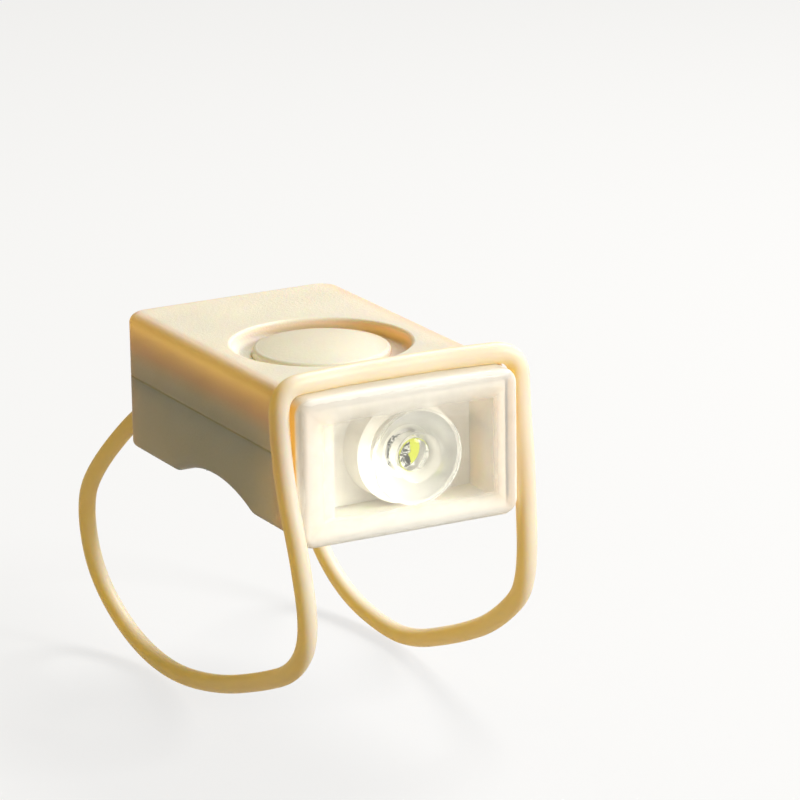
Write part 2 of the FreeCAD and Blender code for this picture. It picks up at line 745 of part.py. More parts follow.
def make_button_seal():
    """Ring that keeps water out round the button."""
    ring = keep(doc.addObject("Part::Torus", "SealRing"), "button_seal")
    bind(ring, "Radius1", SEAL_RING)
    bind(ring, "Radius2", S["seal_section"])
    bind(ring, "Placement.Base.y", BUTTON_Y)
    bind(ring, "Placement.Base.z", SEAL_MIDDLE)


def make_switch():
    """Switch under the button, its plunger and its four feet."""
    half = S["switch_width"] / 2
    rows = (BUTTON_Y - half, BUTTON_Y + half)
    floor = BOARD_TOP + S["fit_gap"]
    hole_radius = S["plunger_radius"] + S["plunger_gap"]
    body = box("SwitchBlock", (-half, half), rows, (BOARD_TOP, SWITCH_TOP))
    hole = cylinder("SwitchHole", 0, BUTTON_Y, hole_radius, floor, SWITCH_TOP)
    keep(cut("SwitchBody", body, hole), "tactile_switch")
    low = floor + S["button_travel"]
    keep(cylinder("Plunger", 0, BUTTON_Y, S["plunger_radius"], low, PLUNGER_TOP), "switch_plunger")
    feet = []
    foot = S["switch_width"] / 8
    for near, far in ((-half - foot, -half), (half, half + foot)):
        for row in (-1, 1):
            middle = BUTTON_Y + row * 3 * foot
            y = (middle - foot / 2, middle + foot / 2)
            feet.append(box("Foot", (near, far), y, (BOARD_TOP, BOARD_TOP + S["strip_thickness"])))
    group(feet, "switch_terminals")


# Cells, contacts and boards

def make_battery_tray():
    """Cup for the two coin cells, with ears that centre it between the side walls."""
    body = new_body("battery_tray")
    rim = CELLS_TOP - S["cup_rim"]
    add_box(body, "Cup", (-CUP_HALF, CUP_HALF), (-CUP_HALF, CUP_HALF), (FLOOR, rim))
    ear = INNER_HALF - S["fit_gap"]
    half = S["strip_width"] / 2
    add_box(body, "Ears", (-ear, ear), (-half, half), (FLOOR, CUP_INSIDE))
    bore = S["cell_diameter"] / 2 + S["cell_gap"]
    cut_cylinder(body, "CupBore", 0, 0, bore, CUP_INSIDE, rim)
    slot = half + S["slide_gap"]
    cut_box(body, "RiserSlot", (-slot, slot), (0, CUP_HALF), (CUP_INSIDE, rim))


def make_cell(label, low):
    """Coin cell with its smaller face down."""
    body = new_body(label)
    radius = S["cell_diameter"] / 2
    cap = S["cell_cap"] / 2
    step = S["cell_thickness"] / 12
    high = low + S["cell_thickness"]
    profile = outline(body, "CellProfile", "XZ_Plane", [
        (0, low),
        (cap, low),
        (cap, low + step),
        (radius - step, low + step),
        (radius, low + 2 * step, step),
        (radius, high - step),
        (radius - step, high, step),
        (0, high),
    ])
    turn(body, "Revolution", "Cell", profile)


def make_contacts():
    """Strip under the cells that rises to the board, and the spring over them."""
    body = new_body("lower_contact")
    start = -S["cell_cap"] / 3
    outer = CUP_HALF - S["strip_thickness"]
    inner = outer - S["strip_thickness"]
    profile = outline(body, "StripProfile", "YZ_Plane", [
        (start, CUP_INSIDE),
        (outer, CUP_INSIDE),
        (outer, BOARD_BASE),
        (inner, BOARD_BASE),
        (inner, LOWER_CELL),
        (start, LOWER_CELL),
    ])
    extrude(body, "Pad", "Strip", profile, S["strip_width"], symmetric=True)
    body = new_body("upper_contact")
    leaf = S["spring_height"] * 0.4
    reach = S["cell_cap"] / 3
    profile = outline(body, "SpringProfile", "XZ_Plane", [
        (-reach, BOARD_BASE - leaf),
        (-reach / 3, BOARD_BASE - leaf),
        (reach / 2, CELLS_TOP),
        (reach, CELLS_TOP),
        (reach, CELLS_TOP + leaf),
        (reach / 2, CELLS_TOP + leaf),
        (-reach / 3, BOARD_BASE),
        (-reach, BOARD_BASE),
    ])
    extrude(body, "Pad", "Spring", profile, S["strip_width"], symmetric=True)


def make_main_board():
    """Board over the cells, screwed to the posts."""
    body = new_body("main_board")
    plan = outline(body, "BoardPlan", "XY_Plane",
                   rounded_rectangle(-BOARD_HALF, BOARD_HALF, BOARD_FRONT, BOARD_REAR, S["board_corner"]),
                   (0, 0, BOARD_BASE))
    extrude(body, "Pad", "Board", plan, S["board_thickness"])
    hole = S["small_screw_radius"] + S["slide_gap"]
    for side in (-1, 1):
        for line in POST_ROWS:
            cut_cylinder(body, "BoardHole", side * POST_SIDE, line, hole, BOARD_BASE, BOARD_TOP)


def on_board(name, middle_x, middle_y, size):
    """Small box part that stands on the main board."""
    length, width, height = size
    x = (as_size(middle_x) - length / 2, as_size(middle_x) + length / 2)
    y = (as_size(middle_y) - width / 2, as_size(middle_y) + width / 2)
    return box(name, x, y, (BOARD_TOP, BOARD_TOP + height))


def make_board_parts():
    """Driver chip with its leads, inductor, capacitors and resistors."""
    keep(on_board("Chip", 0, CHIP_Y, CHIP), "driver_chip")
    leads = []
    for side in (-1, 1):
        for place in (-1.5, -0.5, 0.5, 1.5):
            x = side * (CHIP[0] + CHIP_LEAD[0]) / 2
            leads.append(on_board("Lead", x, CHIP_Y + place * CHIP[1] / 4, CHIP_LEAD))
    group(leads, "chip_leads")
    coil_x = -(CHIP[0] + INDUCTOR[0]) / 2 - 2 * CHIP_LEAD[0] - 1.0
    keep(on_board("Coil", coil_x, CHIP_Y, INDUCTOR), "power_inductor")
    pitch = 2 * CAPACITOR[0]
    first = CHIP[0] / 2 + 2 * CHIP_LEAD[0] + CAPACITOR[0]
    front_y = BOARD_FRONT + CAPACITOR[1]
    places = [(first + index * pitch, CHIP_Y) for index in range(3)]
    places += [(side * 3 * pitch, front_y) for side in (-1, 1)]
    group([on_board("Capacitor", x, y, CAPACITOR) for x, y in places], "chip_capacitors")
    places = [(side * step * pitch, front_y) for side in (-1, 1) for step in (2.2, 3.8)]
    group([on_board("Resistor", x, y, RESISTOR) for x, y in places], "chip_resistors")


# Lamp

def make_lamp_board():
    """White board that closes the back of the recess."""
    gap = S["fit_gap"]
    step = S["seat_step"]
    x = (gap - S["recess_left"] - step, RECESS_RIGHT + step - gap)
    keep(box("LampBoard", x, (LAMP_PLANE, LAMP_REAR), (RECESS_BASE + gap, SEAT_TOP - gap)), "led_board")


def lamp_square(label, width, front, rear):
    """Square layer of the lamp, centred behind the optic."""
    x = (OPTIC_X - width / 2, OPTIC_X + width / 2)
    z = (OPTIC_Z - width / 2, OPTIC_Z + width / 2)
    keep(box("LampLayer", x, (front, rear), z), label)


def make_collimator_lens():
    """Clear optic: a rim, a curved flank, a well in its face and a hollow for the lamp."""
    body = new_body("collimator_lens")
    well_floor = OPTIC_FRONT + S["well_depth"]
    well_inner = S["well_radius"] - S["draft"]
    hollow_floor = OPTIC_REAR - S["hollow_depth"]
    hollow_inner = S["hollow_radius"] - S["draft"]
    profile = outline(body, "OpticProfile", "XY_Plane", [
        (0, well_floor - S["well_rise"]),
        (well_inner, well_floor, dome_radius(well_inner, S["well_rise"])),
        (S["well_radius"], OPTIC_FRONT),
        (S["optic_radius"], OPTIC_FRONT),
        (S["optic_radius"], FLANK_FRONT),
        (S["optic_radius"] - S["optic_step"], FLANK_FRONT),
        (S["optic_foot"], OPTIC_REAR, S["optic_flank"]),
        (S["hollow_radius"], OPTIC_REAR),
        (hollow_inner, hollow_floor),
        (0, hollow_floor + S["hollow_rise"], dome_radius(hollow_inner, S["hollow_rise"])),
    ], (OPTIC_X, 0, OPTIC_Z))
    turn(body, "Revolution", "Optic", profile)


def make_lens_holder():
    """White cup that holds the optic on its board."""
    body = new_body("lens_holder")
    front = LAMP_PLANE - S["holder_height"]
    ring = outline(body, "HolderProfile", "XY_Plane", [
        (0, front),
        (S["holder_radius"], front),
        (S["holder_radius"], LAMP_PLANE),
        (0, LAMP_PLANE),
    ], (OPTIC_X, 0, OPTIC_Z))
    turn(body, "Revolution", "Holder", ring)
    mouth = S["optic_radius"] - S["optic_step"] + S["holder_gap"]
    foot = S["optic_foot"] + S["holder_gap"]
    inside = outline(body, "HolderInside", "XY_Plane", [
        (0, FLANK_FRONT),
        (mouth, FLANK_FRONT),
        (foot, OPTIC_REAR, S["optic_flank"]),
        (foot, LAMP_PLANE),
        (0, LAMP_PLANE),
    ], (OPTIC_X, 0, OPTIC_Z))
    turn(body, "Groove", "HolderHollow", inside)


def make_lead(label, side):
    """Wire from the back of the lamp board, up and over the main board's front edge."""
    body = new_body(label)
    bend = S["wire_bend"]
    radius = S["wire_radius"]
    x = side * S["wire_side"]
    rise = LAMP_REAR + bend + radius
    low = UPPER_CELL
    high = BOARD_TOP + 2 * radius
    path = outline(body, "WirePath", "YZ_Plane", [
        (LAMP_REAR, low),
        (rise - bend, low),
        (rise, low + bend, bend),
        (rise, high - bend),
        (rise + bend, high, -bend),
        (WIRE_END, high),
    ], (0, 0, x), closed=False)
    section = blank_sketch(body, "WireSection", "XZ_Plane", (x, low, -LAMP_REAR))
    ring = section.addGeometry(Part.Circle(FreeCAD.Vector(), FreeCAD.Vector(0, 0, 1), radius.value))
    section.addConstraint(Sketcher.Constraint("Coincident", ring, 3, -1, 1))
    constrain(section, "Radius", ring, size=radius)
    pipe = body.newObject("PartDesign::AdditivePipe", "Wire")
    pipe.Profile = section
    pipe.Spine = path
    add_cylinder(body, "WireJoint", x, WIRE_END, radius, BOARD_TOP, high)


# Screws

def make_screw(x, y, low, head, head_height, shank, length):
    """Screw with its head down and a cross slot in it."""
    head_top = low + head_height
    blank = fuse("ScrewBlank", [
        cylinder("ScrewHead", x, y, head, low, head_top),
        cylinder("ScrewShank", x, y, shank, low, head_top + length),
    ])
    long_half = S["driver_width"] / 2
    short_half = long_half / 4
    deep = low + head_height / 2
    slots = fuse("ScrewSlots", [
        box("Slot", (x - long_half, x + long_half), (y - short_half, y + short_half), (low, deep)),
        box("Slot", (x - short_half, x + short_half), (y - long_half, y + long_half), (low, deep)),
    ])
    return cut("Screw", blank, slots)


def make_screws():
    """Two screws that close the case and four that hold the main board."""
    case_screws = []
    board_screws = []
    for side in (-1, 1):
        case_screws.append(make_screw(
            side * BOSS_SIDE, BOSS_Y, BASE + S["screw_sink"], S["screw_head"], S["screw_head_height"],
            S["screw_radius"], S["screw_length"]))
        for line in POST_ROWS:
            board_screws.append(make_screw(
                side * POST_SIDE, line, BOARD_BASE - S["small_screw_head_height"], S["small_screw_head"],
                S["small_screw_head_height"], S["small_screw_radius"], S["small_screw_length"]))
    group(case_screws, "case_screws")
    group(board_screws, "board_screws")


# Route of each side of the band, from the top of the cap to the hook: distance out from the
# strand beside the case, distance back from the clear front and height over the underside.
LEFT_ROUTE = [
    (0.0, 1.9, 12.0),
    (0.0, 0.9, 6.0),
    (0.0, -2.2, -1.0),
    (0.0, -4.6, -10.0),
    (0.0, -0.5, -15.8),
    (-0.2, 9.0, -19.9),
    (-0.4, 22.0, -24.4),
]
RIGHT_ROUTE = [
    (0.0, 1.6, 12.0),
    (0.0, 1.3, 5.5),
    (0.0, 0.9, -2.4),
    (0.0, 0.8, -6.2),
    (-0.1, 1.1, -9.5),
    (-0.1, 2.4, -12.5),
    (-0.4, 5.9, -15.7),
    (-0.4, 10.5, -18.7),
    (-0.6, 15.7, -21.1),
    (-0.6, 21.0, -23.2),
    (-0.6, 28.5, -25.9),
]
# The last stretch of both sides, with the distance back from the rear face
REAR_ROUTE = [
    (-0.6, -13.3, -27.0),
    (-0.6, -1.3, -25.5),
    (-0.4, 8.2, -20.0),
    (-0.2, 10.7, -12.5),
    (0.1, 7.9, -6.0),
]
# Straight middle of the top run, its distance back in the middle and at the corners, and the
# distance across to the corner beside the hook
TOP_RUN = 5.5
TOP_BACK = (3.8, 2.6)
HOOK_CORNER = 12.0


def room_beside(corners, reaches, corner, neighbour):
    """Largest share of the run between two corners that the bend at the first may use."""
    run = (corners[corner] - corners[neighbour]).Length
    return 0.9 * (run - reaches[neighbour]) if neighbour in reaches else 0.45 * run


def tangent_path(corners, bends):
    """Straight runs joined by tangent arcs: given bends, and the largest that the runs allow elsewhere."""
    inner = range(1, len(corners) - 1)
    to_last = {index: (corners[index - 1] - corners[index]).normalize() for index in inner}
    to_next = {index: (corners[index + 1] - corners[index]).normalize() for index in inner}
    half_turns = {index: (math.pi - to_last[index].getAngle(to_next[index])) / 2 for index in inner}
    given = {index: radius * math.tan(half_turns[index]) for index, radius in bends.items()}
    edges = []
    start = corners[0]
    for index in inner:
        if index in given:
            reach = given[index]
        else:
            reach = min(room_beside(corners, given, index, index + step) for step in (-1, 1))
        radius = reach / math.tan(half_turns[index])
        inward = (to_last[index] + to_next[index]).normalize()
        first = corners[index] + to_last[index] * reach
        middle = corners[index] + inward * (radius / math.cos(half_turns[index]) - radius)
        last = corners[index] + to_next[index] * reach
        edges.append(Part.LineSegment(start, first).toShape())
        edges.append(Part.Arc(first, middle, last).toShape())
        print(f"band bend {index}: radius {radius:.1f}")
        start = last
    edges.append(Part.LineSegment(start, corners[-1]).toShape())
    return Part.Wire(edges)


def half_band(side, route):
    """One half of the band, from the middle of its top run to the middle of its hook."""
    strand = HALF.value + BAND_REACH.value
    top = TOP.value + BAND_REACH.value
    front = FRONT.value
    rear = REAR.value
    base = BASE.value
    corners = [
        FreeCAD.Vector(0, front + TOP_BACK[0], top),
        FreeCAD.Vector(side * TOP_RUN, front + TOP_BACK[0], top),
        FreeCAD.Vector(side * strand, front + TOP_BACK[1], top),
    ]
    corners += [FreeCAD.Vector(side * (strand + out), front + back, base + up) for out, back, up in route]
    corners += [FreeCAD.Vector(side * (strand + out), rear + back, base + up) for out, back, up in REAR_ROUTE]
    corners.append(FreeCAD.Vector(side * HOOK_CORNER, HOOK_Y.value, HOOK_Z.value))
    corners.append(FreeCAD.Vector(0, HOOK_Y.value, HOOK_Z.value))
    bends = {2: S["cap_corner"].value + BAND_REACH.value, len(corners) - 2: S["hook_bend"].value}
    path = tangent_path(corners, bends)
    section = Part.makeCircle(S["band_radius"].value, corners[0], FreeCAD.Vector(1, 0, 0))
    return path.makePipe(Part.Face(Part.Wire(section))), path.Length


def make_band():
    """Silicone loop over the cap, down both sides, under the handlebar and up to the hook."""
    left, left_length = half_band(-1, LEFT_ROUTE)
    right, right_length = half_band(1, RIGHT_ROUTE)
    band = keep(doc.addObject("Part::Feature", "Band"), "mounting_band")
    band.Shape = left.fuse(right).removeSplitter()
    length = left_length + right_length
    expected = math.pi * S["band_radius"].value ** 2 * length
    print(f"band length {length:.1f}, volume {band.Shape.Volume:.1f} of {expected:.1f}")


make_upper_shell()
make_lower_shell()
make_front_cap()
make_cap_gasket()
make_case_gasket()
make_saddle_pad()
make_push_button()
make_button_seal()
make_switch()
make_battery_tray()
make_cell("battery_lower", LOWER_CELL)
make_cell("battery_upper", UPPER_CELL)
make_contacts()
make_main_board()
make_board_parts()
make_lamp_board()
lamp_square("led_package", S["led_width"], LED_FRONT, LAMP_PLANE)
lamp_square("led_phosphor", S["glow_width"], LED_FRONT - S["glow_height"], LED_FRONT)
make_collimator_lens()
make_lens_holder()
make_lead("lead_positive", 1)
make_lead("lead_negative", -1)
make_screws()
make_band()
doc.recompute()

for item in doc.Objects:
    if "Invalid" in item.State or "Error" in item.State:
        raise RuntimeError(f"{item.Name} of {item.Label} failed: {item.State}")
for node in nodes:
    if node.Shape.isNull() or not node.Shape.isValid():
        raise RuntimeError(f"{node.Label} has no valid shape")

os.makedirs("parts", exist_ok=True)
for node in nodes:
    node.Shape.exportStep(os.path.join("parts", node.Label + ".step"))
    print(f"{node.Label}: {len(node.Shape.Solids)} solids, volume {node.Shape.Volume:.2f}")
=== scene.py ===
import math

import bmesh
import bpy
from bpy.props import FloatProperty, FloatVectorProperty, IntProperty, PointerProperty
from mathutils import Euler, Matrix, Vector


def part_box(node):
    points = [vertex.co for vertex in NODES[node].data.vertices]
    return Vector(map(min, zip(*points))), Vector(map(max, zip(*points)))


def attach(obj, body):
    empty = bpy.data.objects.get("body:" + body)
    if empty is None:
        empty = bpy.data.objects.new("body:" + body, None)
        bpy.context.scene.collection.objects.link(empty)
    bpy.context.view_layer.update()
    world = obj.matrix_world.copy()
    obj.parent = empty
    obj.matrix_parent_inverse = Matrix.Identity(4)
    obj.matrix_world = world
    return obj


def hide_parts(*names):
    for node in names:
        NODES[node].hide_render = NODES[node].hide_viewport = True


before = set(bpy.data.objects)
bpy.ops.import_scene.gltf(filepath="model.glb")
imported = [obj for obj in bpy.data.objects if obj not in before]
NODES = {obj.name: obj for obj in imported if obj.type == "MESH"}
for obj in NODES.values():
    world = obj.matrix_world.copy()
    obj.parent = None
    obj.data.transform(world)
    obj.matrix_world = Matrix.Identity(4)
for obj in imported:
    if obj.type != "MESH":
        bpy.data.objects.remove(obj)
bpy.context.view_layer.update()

bl_info = {
    "name": "Handlebar Headlight",
    "version": (1, 0, 0),
    "blender": (4, 5, 0),
    "location": "View3D > Sidebar > Headlight",
    "description": "Dresses the packed solids of a small handlebar light and sets up its studio",
    "category": "Object",
}

# Places of the solids, in metres
CASE_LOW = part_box("lower_shell")[0]
CASE_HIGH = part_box("upper_shell")[1]
BUTTON_MIDDLE = sum(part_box("push_button"), Vector()) / 2
CAP_LOW, CAP_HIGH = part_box("front_cap")
OPTIC_LOW, OPTIC_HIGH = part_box("collimator_lens")
OPTIC_MIDDLE = (OPTIC_LOW + OPTIC_HIGH) / 2
PAD_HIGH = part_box("saddle_pad")[1]
BAND_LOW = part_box("mounting_band")[0]

MM = 0.001
WHITE = (1.0, 1.0, 1.0)
EVEN = (1.0, 1.0, 1.0)
CLEAR_INDEX = 1.49


def colour_property(name, description, default):
    """A colour that the user can change."""
    return FloatVectorProperty(name=name, description=description, default=default, subtype="COLOR",
                               size=3, min=0.0, max=1.0)


def length_property(name, description, default):
    """A length in metres that the user can change."""
    return FloatProperty(name=name, description=description, default=default, unit="LENGTH", precision=5)


def share_property(name, description, default):
    """A share from 0 to 1 that the user can change."""
    return FloatProperty(name=name, description=description, default=default, subtype="FACTOR",
                         min=0.0, max=1.0)


def power_property(name, description, default):
    """The power of a lamp that the user can change."""
    return FloatProperty(name=name, description=description, default=default, unit="POWER", min=0.0)


class CaseLooks(bpy.types.PropertyGroup):
    """Finish of the moulded case and its button"""
    case_colour: colour_property("Case", "Colour of the two shells", (0.89, 0.89, 0.825))
    button_colour: colour_property("Button", "Colour of the push button", (0.89, 0.88, 0.79))
    grain: length_property("Grain", "Size of the moulded texture's grain", 0.35 * MM)
    grain_depth: length_property("Grain depth", "Depth of the case's moulded texture", 0.06 * MM)
    button_grain: share_property("Button grain", "Depth of the button's texture against the case's", 0.6)
    glow_depth: length_property("Glow depth", "How far light travels under the surface", 3 * MM)


class LampLooks(bpy.types.PropertyGroup):
    """Finish of the clear cap, the optic and the lamp"""
    haze: share_property("Haze", "Share of milky light at the border of the cap", 0.8)
    cap_tint: colour_property("Cap", "Tint of the clear cap", (0.97, 0.97, 0.95))
    optic_tint: colour_property("Optic", "Tint of the clear optic", (0.98, 0.98, 0.97))
    holder_colour: colour_property("Holder", "Colour of the optic's holder", (0.84, 0.83, 0.79))
    board_colour: colour_property("Board", "Colour of the lamp's board", (0.94, 0.93, 0.90))
    base_colour: colour_property("Base", "Colour of the lamp's body", (0.88, 0.88, 0.86))
    glow_colour: colour_property("Glow", "Colour of the lamp's emitting square", (0.60, 0.66, 0.03))


class BandLooks(bpy.types.PropertyGroup):
    """Shape and finish of the silicone band"""
    band_radius: length_property("Radius", "Radius of the band's round section", 1.3 * MM)
    taper: share_property("Taper", "How much thinner the band is at its hook than on the top", 0.14)
    band_colour: colour_property("Band", "Colour of the silicone", (0.92, 1.0, 1.0))
    band_glow: colour_property("Glow", "Colour of light that has passed through the silicone",
                               (1.0, 0.72, 0.03))
    sides: IntProperty(name="Sides", description="Points round the band's section", default=28, min=8, max=64)


class PadLooks(bpy.types.PropertyGroup):
    """Shape and finish of the rubber pad"""
    pad_colour: colour_property("Pad", "Colour of the rubber", (0.022, 0.023, 0.022))
    rib_pitch: length_property("Rib pitch", "Distance from one rib of the pad's face to the next", 1.5 * MM)
    rib_height: length_property("Rib height", "Depth of the grooves between the ribs", 0.12 * MM)


class StudioLooks(bpy.types.PropertyGroup):
    """Camera, floor and lights"""
    lens: FloatProperty(name="Lens", description="Focal length on a 36 mm sensor", default=207.0,
                        unit="CAMERA", min=10.0, max=400.0)
    camera_place: FloatVectorProperty(name="Camera", description="Where the camera stands", size=3,
                                      default=(-0.250481, -0.489013, 0.167626), subtype="TRANSLATION",
                                      unit="LENGTH")
    camera_turn: FloatVectorProperty(name="Turn", description="How the camera is turned", size=3,
                                     default=(math.radians(73.7893), math.radians(0.84208),
                                              math.radians(-28.41858)), subtype="EULER", unit="ROTATION")
    key_power: power_property("Key", "Power of the lamp above on the right, towards the rear", 2.2)
    front_power: power_property("Front", "Power of the lamp in front on the right", 3.65)
    floor_colour: colour_property("Floor", "Colour of the studio floor", (0.14, 0.14, 0.14))
    sky_colour: colour_property("Sky colour", "Colour of the even light", (1.0, 0.82, 0.42))
    sky_strength: FloatProperty(name="Sky", description="Strength of the even light from all round",
                                default=0.24, min=0.0)


# Materials

def opaque(colour):
    """A colour as the nodes take it, with its alpha."""
    return (*colour, 1.0)


def grey(value):
    """A neutral colour."""
    return (value, value, value)


def shades(colour, spread):
    """A darker and a lighter tone of a colour."""
    return (tuple(channel * (1 - spread) for channel in colour),
            tuple(min(1.0, channel * (1 + spread)) for channel in colour))


class Nodes:
    """Short ways to add nodes to a tree."""

    def __init__(self, tree):
        self.tree = tree

    def fill(self, target, value):
        """Link or set one input."""
        if isinstance(value, bpy.types.NodeSocket):
            self.tree.links.new(value, target)
        else:
            target.default_value = value

    def node(self, kind, **inputs):
        """Add a node and fill its inputs, written with underscores for spaces."""
        made = self.tree.nodes.new(kind)
        for name, value in inputs.items():
            self.fill(made.inputs[name.replace("_", " ")], value)
        return made

    def range(self, value, low, high, to_low=0.0, to_high=1.0):
        """Map a value's range to another."""
        made = self.tree.nodes.new("ShaderNodeMapRange")
        for target, item in zip(made.inputs, (value, low, high, to_low, to_high)):
            self.fill(target, item)
        return made.outputs["Result"]

    def math(self, operation, *values):
        """Arithmetic on one, two or three values."""
        made = self.tree.nodes.new("ShaderNodeMath")
        made.operation = operation
        for target, item in zip(made.inputs, values):
            self.fill(target, item)
        return made.outputs[0]

    def plus(self, one, other):
        """Sum of two values."""
        return self.math("ADD", one, other)

    def minus(self, one, other):
        """Difference of two values."""
        return self.math("SUBTRACT", one, other)

    def times(self, one, other):
        """Product of two values."""
        return self.math("MULTIPLY", one, other)

    def most(self, one, other):
        """The larger of two values."""
        return self.math("MAXIMUM", one, other)

    def over(self, value, limit):
        """1 where a value is over its limit, else 0."""
        return self.math("GREATER_THAN", value, limit)

    def under(self, value, limit):
        """1 where a value is under its limit, else 0."""
        return self.math("LESS_THAN", value, limit)

    def drift(self, pattern, reach):
        """A cloudy pattern turned into an offset, by up to half the reach each way."""
        return self.times(self.minus(pattern, 0.5), reach)

    def distance(self, one, other):
        """Distance from an axis, from the offsets along two directions square to it."""
        return self.math("SQRT", self.plus(self.times(one, one), self.times(other, other)))

    def colours(self, factor, one, other):
        """One colour where the factor is 0 and another where it is 1."""
        made = self.tree.nodes.new("ShaderNodeMix")
        made.data_type = "RGBA"
        self.fill(made.inputs["Factor"], factor)
        self.fill(made.inputs["A"], one)
        self.fill(made.inputs["B"], other)
        return made.outputs["Result"]

    def ramp(self, factor, *stops):
        """Colours at places along a factor."""
        made = self.node("ShaderNodeValToRGB", Fac=factor)
        band = made.color_ramp.elements
        while len(band) < len(stops):
            band.new(0.5)
        for element, (position, colour) in zip(band, stops):
            element.position = position
            element.color = opaque(colour)
        return made.outputs["Color"]


class Finish(Nodes):
    """One procedural material."""

    def __init__(self, name, **values):
        self.material = bpy.data.materials.new(name)
        self.material.use_nodes = True
        super().__init__(self.material.node_tree)
        self.shader = self.tree.nodes["Principled BSDF"]
        self.output = self.tree.nodes["Material Output"].inputs["Surface"]
        self.place = None
        for socket, value in values.items():
            value = opaque(value) if socket.endswith("Color") else value
            self.shader.inputs[socket.replace("_", " ")].default_value = value

    def where(self):
        """Place on the piece, in metres."""
        if self.place is None:
            self.place = self.tree.nodes.new("ShaderNodeTexCoord").outputs["Object"]
        return self.place

    def axes(self):
        """The three coordinates of the place on the piece, in metres."""
        return self.node("ShaderNodeSeparateXYZ", Vector=self.where()).outputs

    def noise(self, size, detail=2.0, roughness=0.5, distortion=0.0, scale=EVEN):
        """Cloudy pattern whose patches are about this size, and narrower along an axis that is scaled up."""
        place = self.where()
        if scale != EVEN:
            place = self.node("ShaderNodeMapping", Vector=place, Scale=scale).outputs["Vector"]
        made = self.node("ShaderNodeTexNoise", Vector=place, Scale=1.0 / size, Detail=detail,
                         Roughness=roughness, Distortion=distortion)
        return made.outputs["Fac"]

    def mottled(self, colour, spread, pattern, low=0.3, high=0.7):
        """Give the surface a colour that goes from darker to lighter with a pattern."""
        dark, light = shades(colour, spread)
        self.fill(self.shader.inputs["Base Color"], self.ramp(pattern, (low, dark), (high, light)))

    def uneven(self, pattern, smooth, coarse, low=0.3, high=0.7):
        """Give the surface a roughness that varies with a pattern."""
        self.fill(self.shader.inputs["Roughness"], self.range(pattern, low, high, smooth, coarse))

    def bump(self, height, depth, strength=1.0):
        """Raise the surface by a pattern, over what is there."""
        made = self.node("ShaderNodeBump", Height=height, Distance=depth, Strength=strength)
        normal = self.shader.inputs["Normal"]
        if normal.links:
            self.fill(made.inputs["Normal"], normal.links[0].from_socket)
        self.fill(normal, made.outputs["Normal"])

    def light(self, kind, **inputs):
        """Add a shader node."""
        return self.node(kind, **inputs).outputs[0]

    def mixed(self, share, one, other):
        """One shader where the share is 0 and another where it is 1."""
        made = self.node("ShaderNodeMixShader", Fac=share)
        self.fill(made.inputs[1], one)
        self.fill(made.inputs[2], other)
        return made.outputs[0]

    def added(self, one, other):
        """Two shaders on top of each other."""
        made = self.tree.nodes.new("ShaderNodeAddShader")
        self.fill(made.inputs[0], one)
        self.fill(made.inputs[1], other)
        return made.outputs[0]

    def cover(self, share, shader):
        """Lay a shader over a share of the surface."""
        self.fill(self.output, self.mixed(share, self.output.links[0].from_socket, shader))

    def let_through(self, colour, share):
        """Let a share of the light pass through the piece and come out in a warmer colour."""
        self.cover(share, self.light("ShaderNodeBsdfTranslucent", Color=colour))

    def clear_to_lamps(self, tint):
        """Let the lamps' light pass straight through, as a thin clear wall does."""
        path = self.tree.nodes.new("ShaderNodeLightPath").outputs["Is Shadow Ray"]
        self.cover(path, self.light("ShaderNodeBsdfTransparent", Color=tint))


# Where the case lets more warm light through, set by place, in metres. The translucency is real, but its
# placing is painted glow along the edges, stronger on the left side away from the lamps, and painted shade in
# the rear right of the dish. A pair is two places between which the glow changes.
TOP_GLOW = (-6.2 * MM, -1.2 * MM)     # rising towards the top edges
UPRIGHT_GLOW = (-4.5 * MM, 0.0)       # rising towards the upright edges
UPRIGHT_SHARE = 0.45                  # how strong the glow is at an upright edge
INWARD_FADE = 2.6                     # how much faster the glow fades over the top face than down the sides
REAR_FADE = 0.8 * MM                  # how much further off the rear edge counts
LIT_FADE = (-6.0 * MM, 6.0 * MM)      # fading from the left side to the right side, which the lamps face
LIT_SHARE = 0.45                      # what is left of the glow on the right side
DISH_RADIUS = 12.5 * MM
DISH_FADE = (-1.0 * MM, -0.2 * MM)    # fading from the wall of the dish up to the top face
DISH_SHADE_REACH = (-2.0 * MM, 10.0 * MM)     # painted shade, rising towards the rear right of the dish


def painted_glow_places(finish):
    """Where glow and shade are painted on the case by place: 1 along its top edges and in the rear right of
    the dish, up to 0.45 along its upright edges, 0 on its broad faces; the edges glow less on the right side,
    which the lamps face.
    """
    x, y, z = finish.axes()
    down = finish.minus(z, CASE_HIGH.z)
    across = finish.minus(finish.math("ABSOLUTE", x), CASE_HIGH.x)
    back = finish.minus(y, CASE_HIGH.y)
    front = finish.minus(CAP_HIGH.y, y)
    inward = finish.most(across, finish.minus(back, REAR_FADE))
    top = finish.range(finish.plus(finish.times(inward, INWARD_FADE), down), *TOP_GLOW)
    corner = finish.plus(across, finish.most(back, front))
    upright = finish.range(corner, *UPRIGHT_GLOW, 0.0, UPRIGHT_SHARE)
    edge = finish.times(finish.most(top, upright), finish.range(x, *LIT_FADE, 1.0, LIT_SHARE))
    off = finish.minus(y, BUTTON_MIDDLE.y)
    inside = finish.under(finish.distance(x, off), DISH_RADIUS)
    dish = finish.times(finish.range(down, *DISH_FADE, 1.0, 0.0), inside)
    far = finish.range(finish.plus(x, off), *DISH_SHADE_REACH)
    return finish.most(edge, finish.times(dish, far))


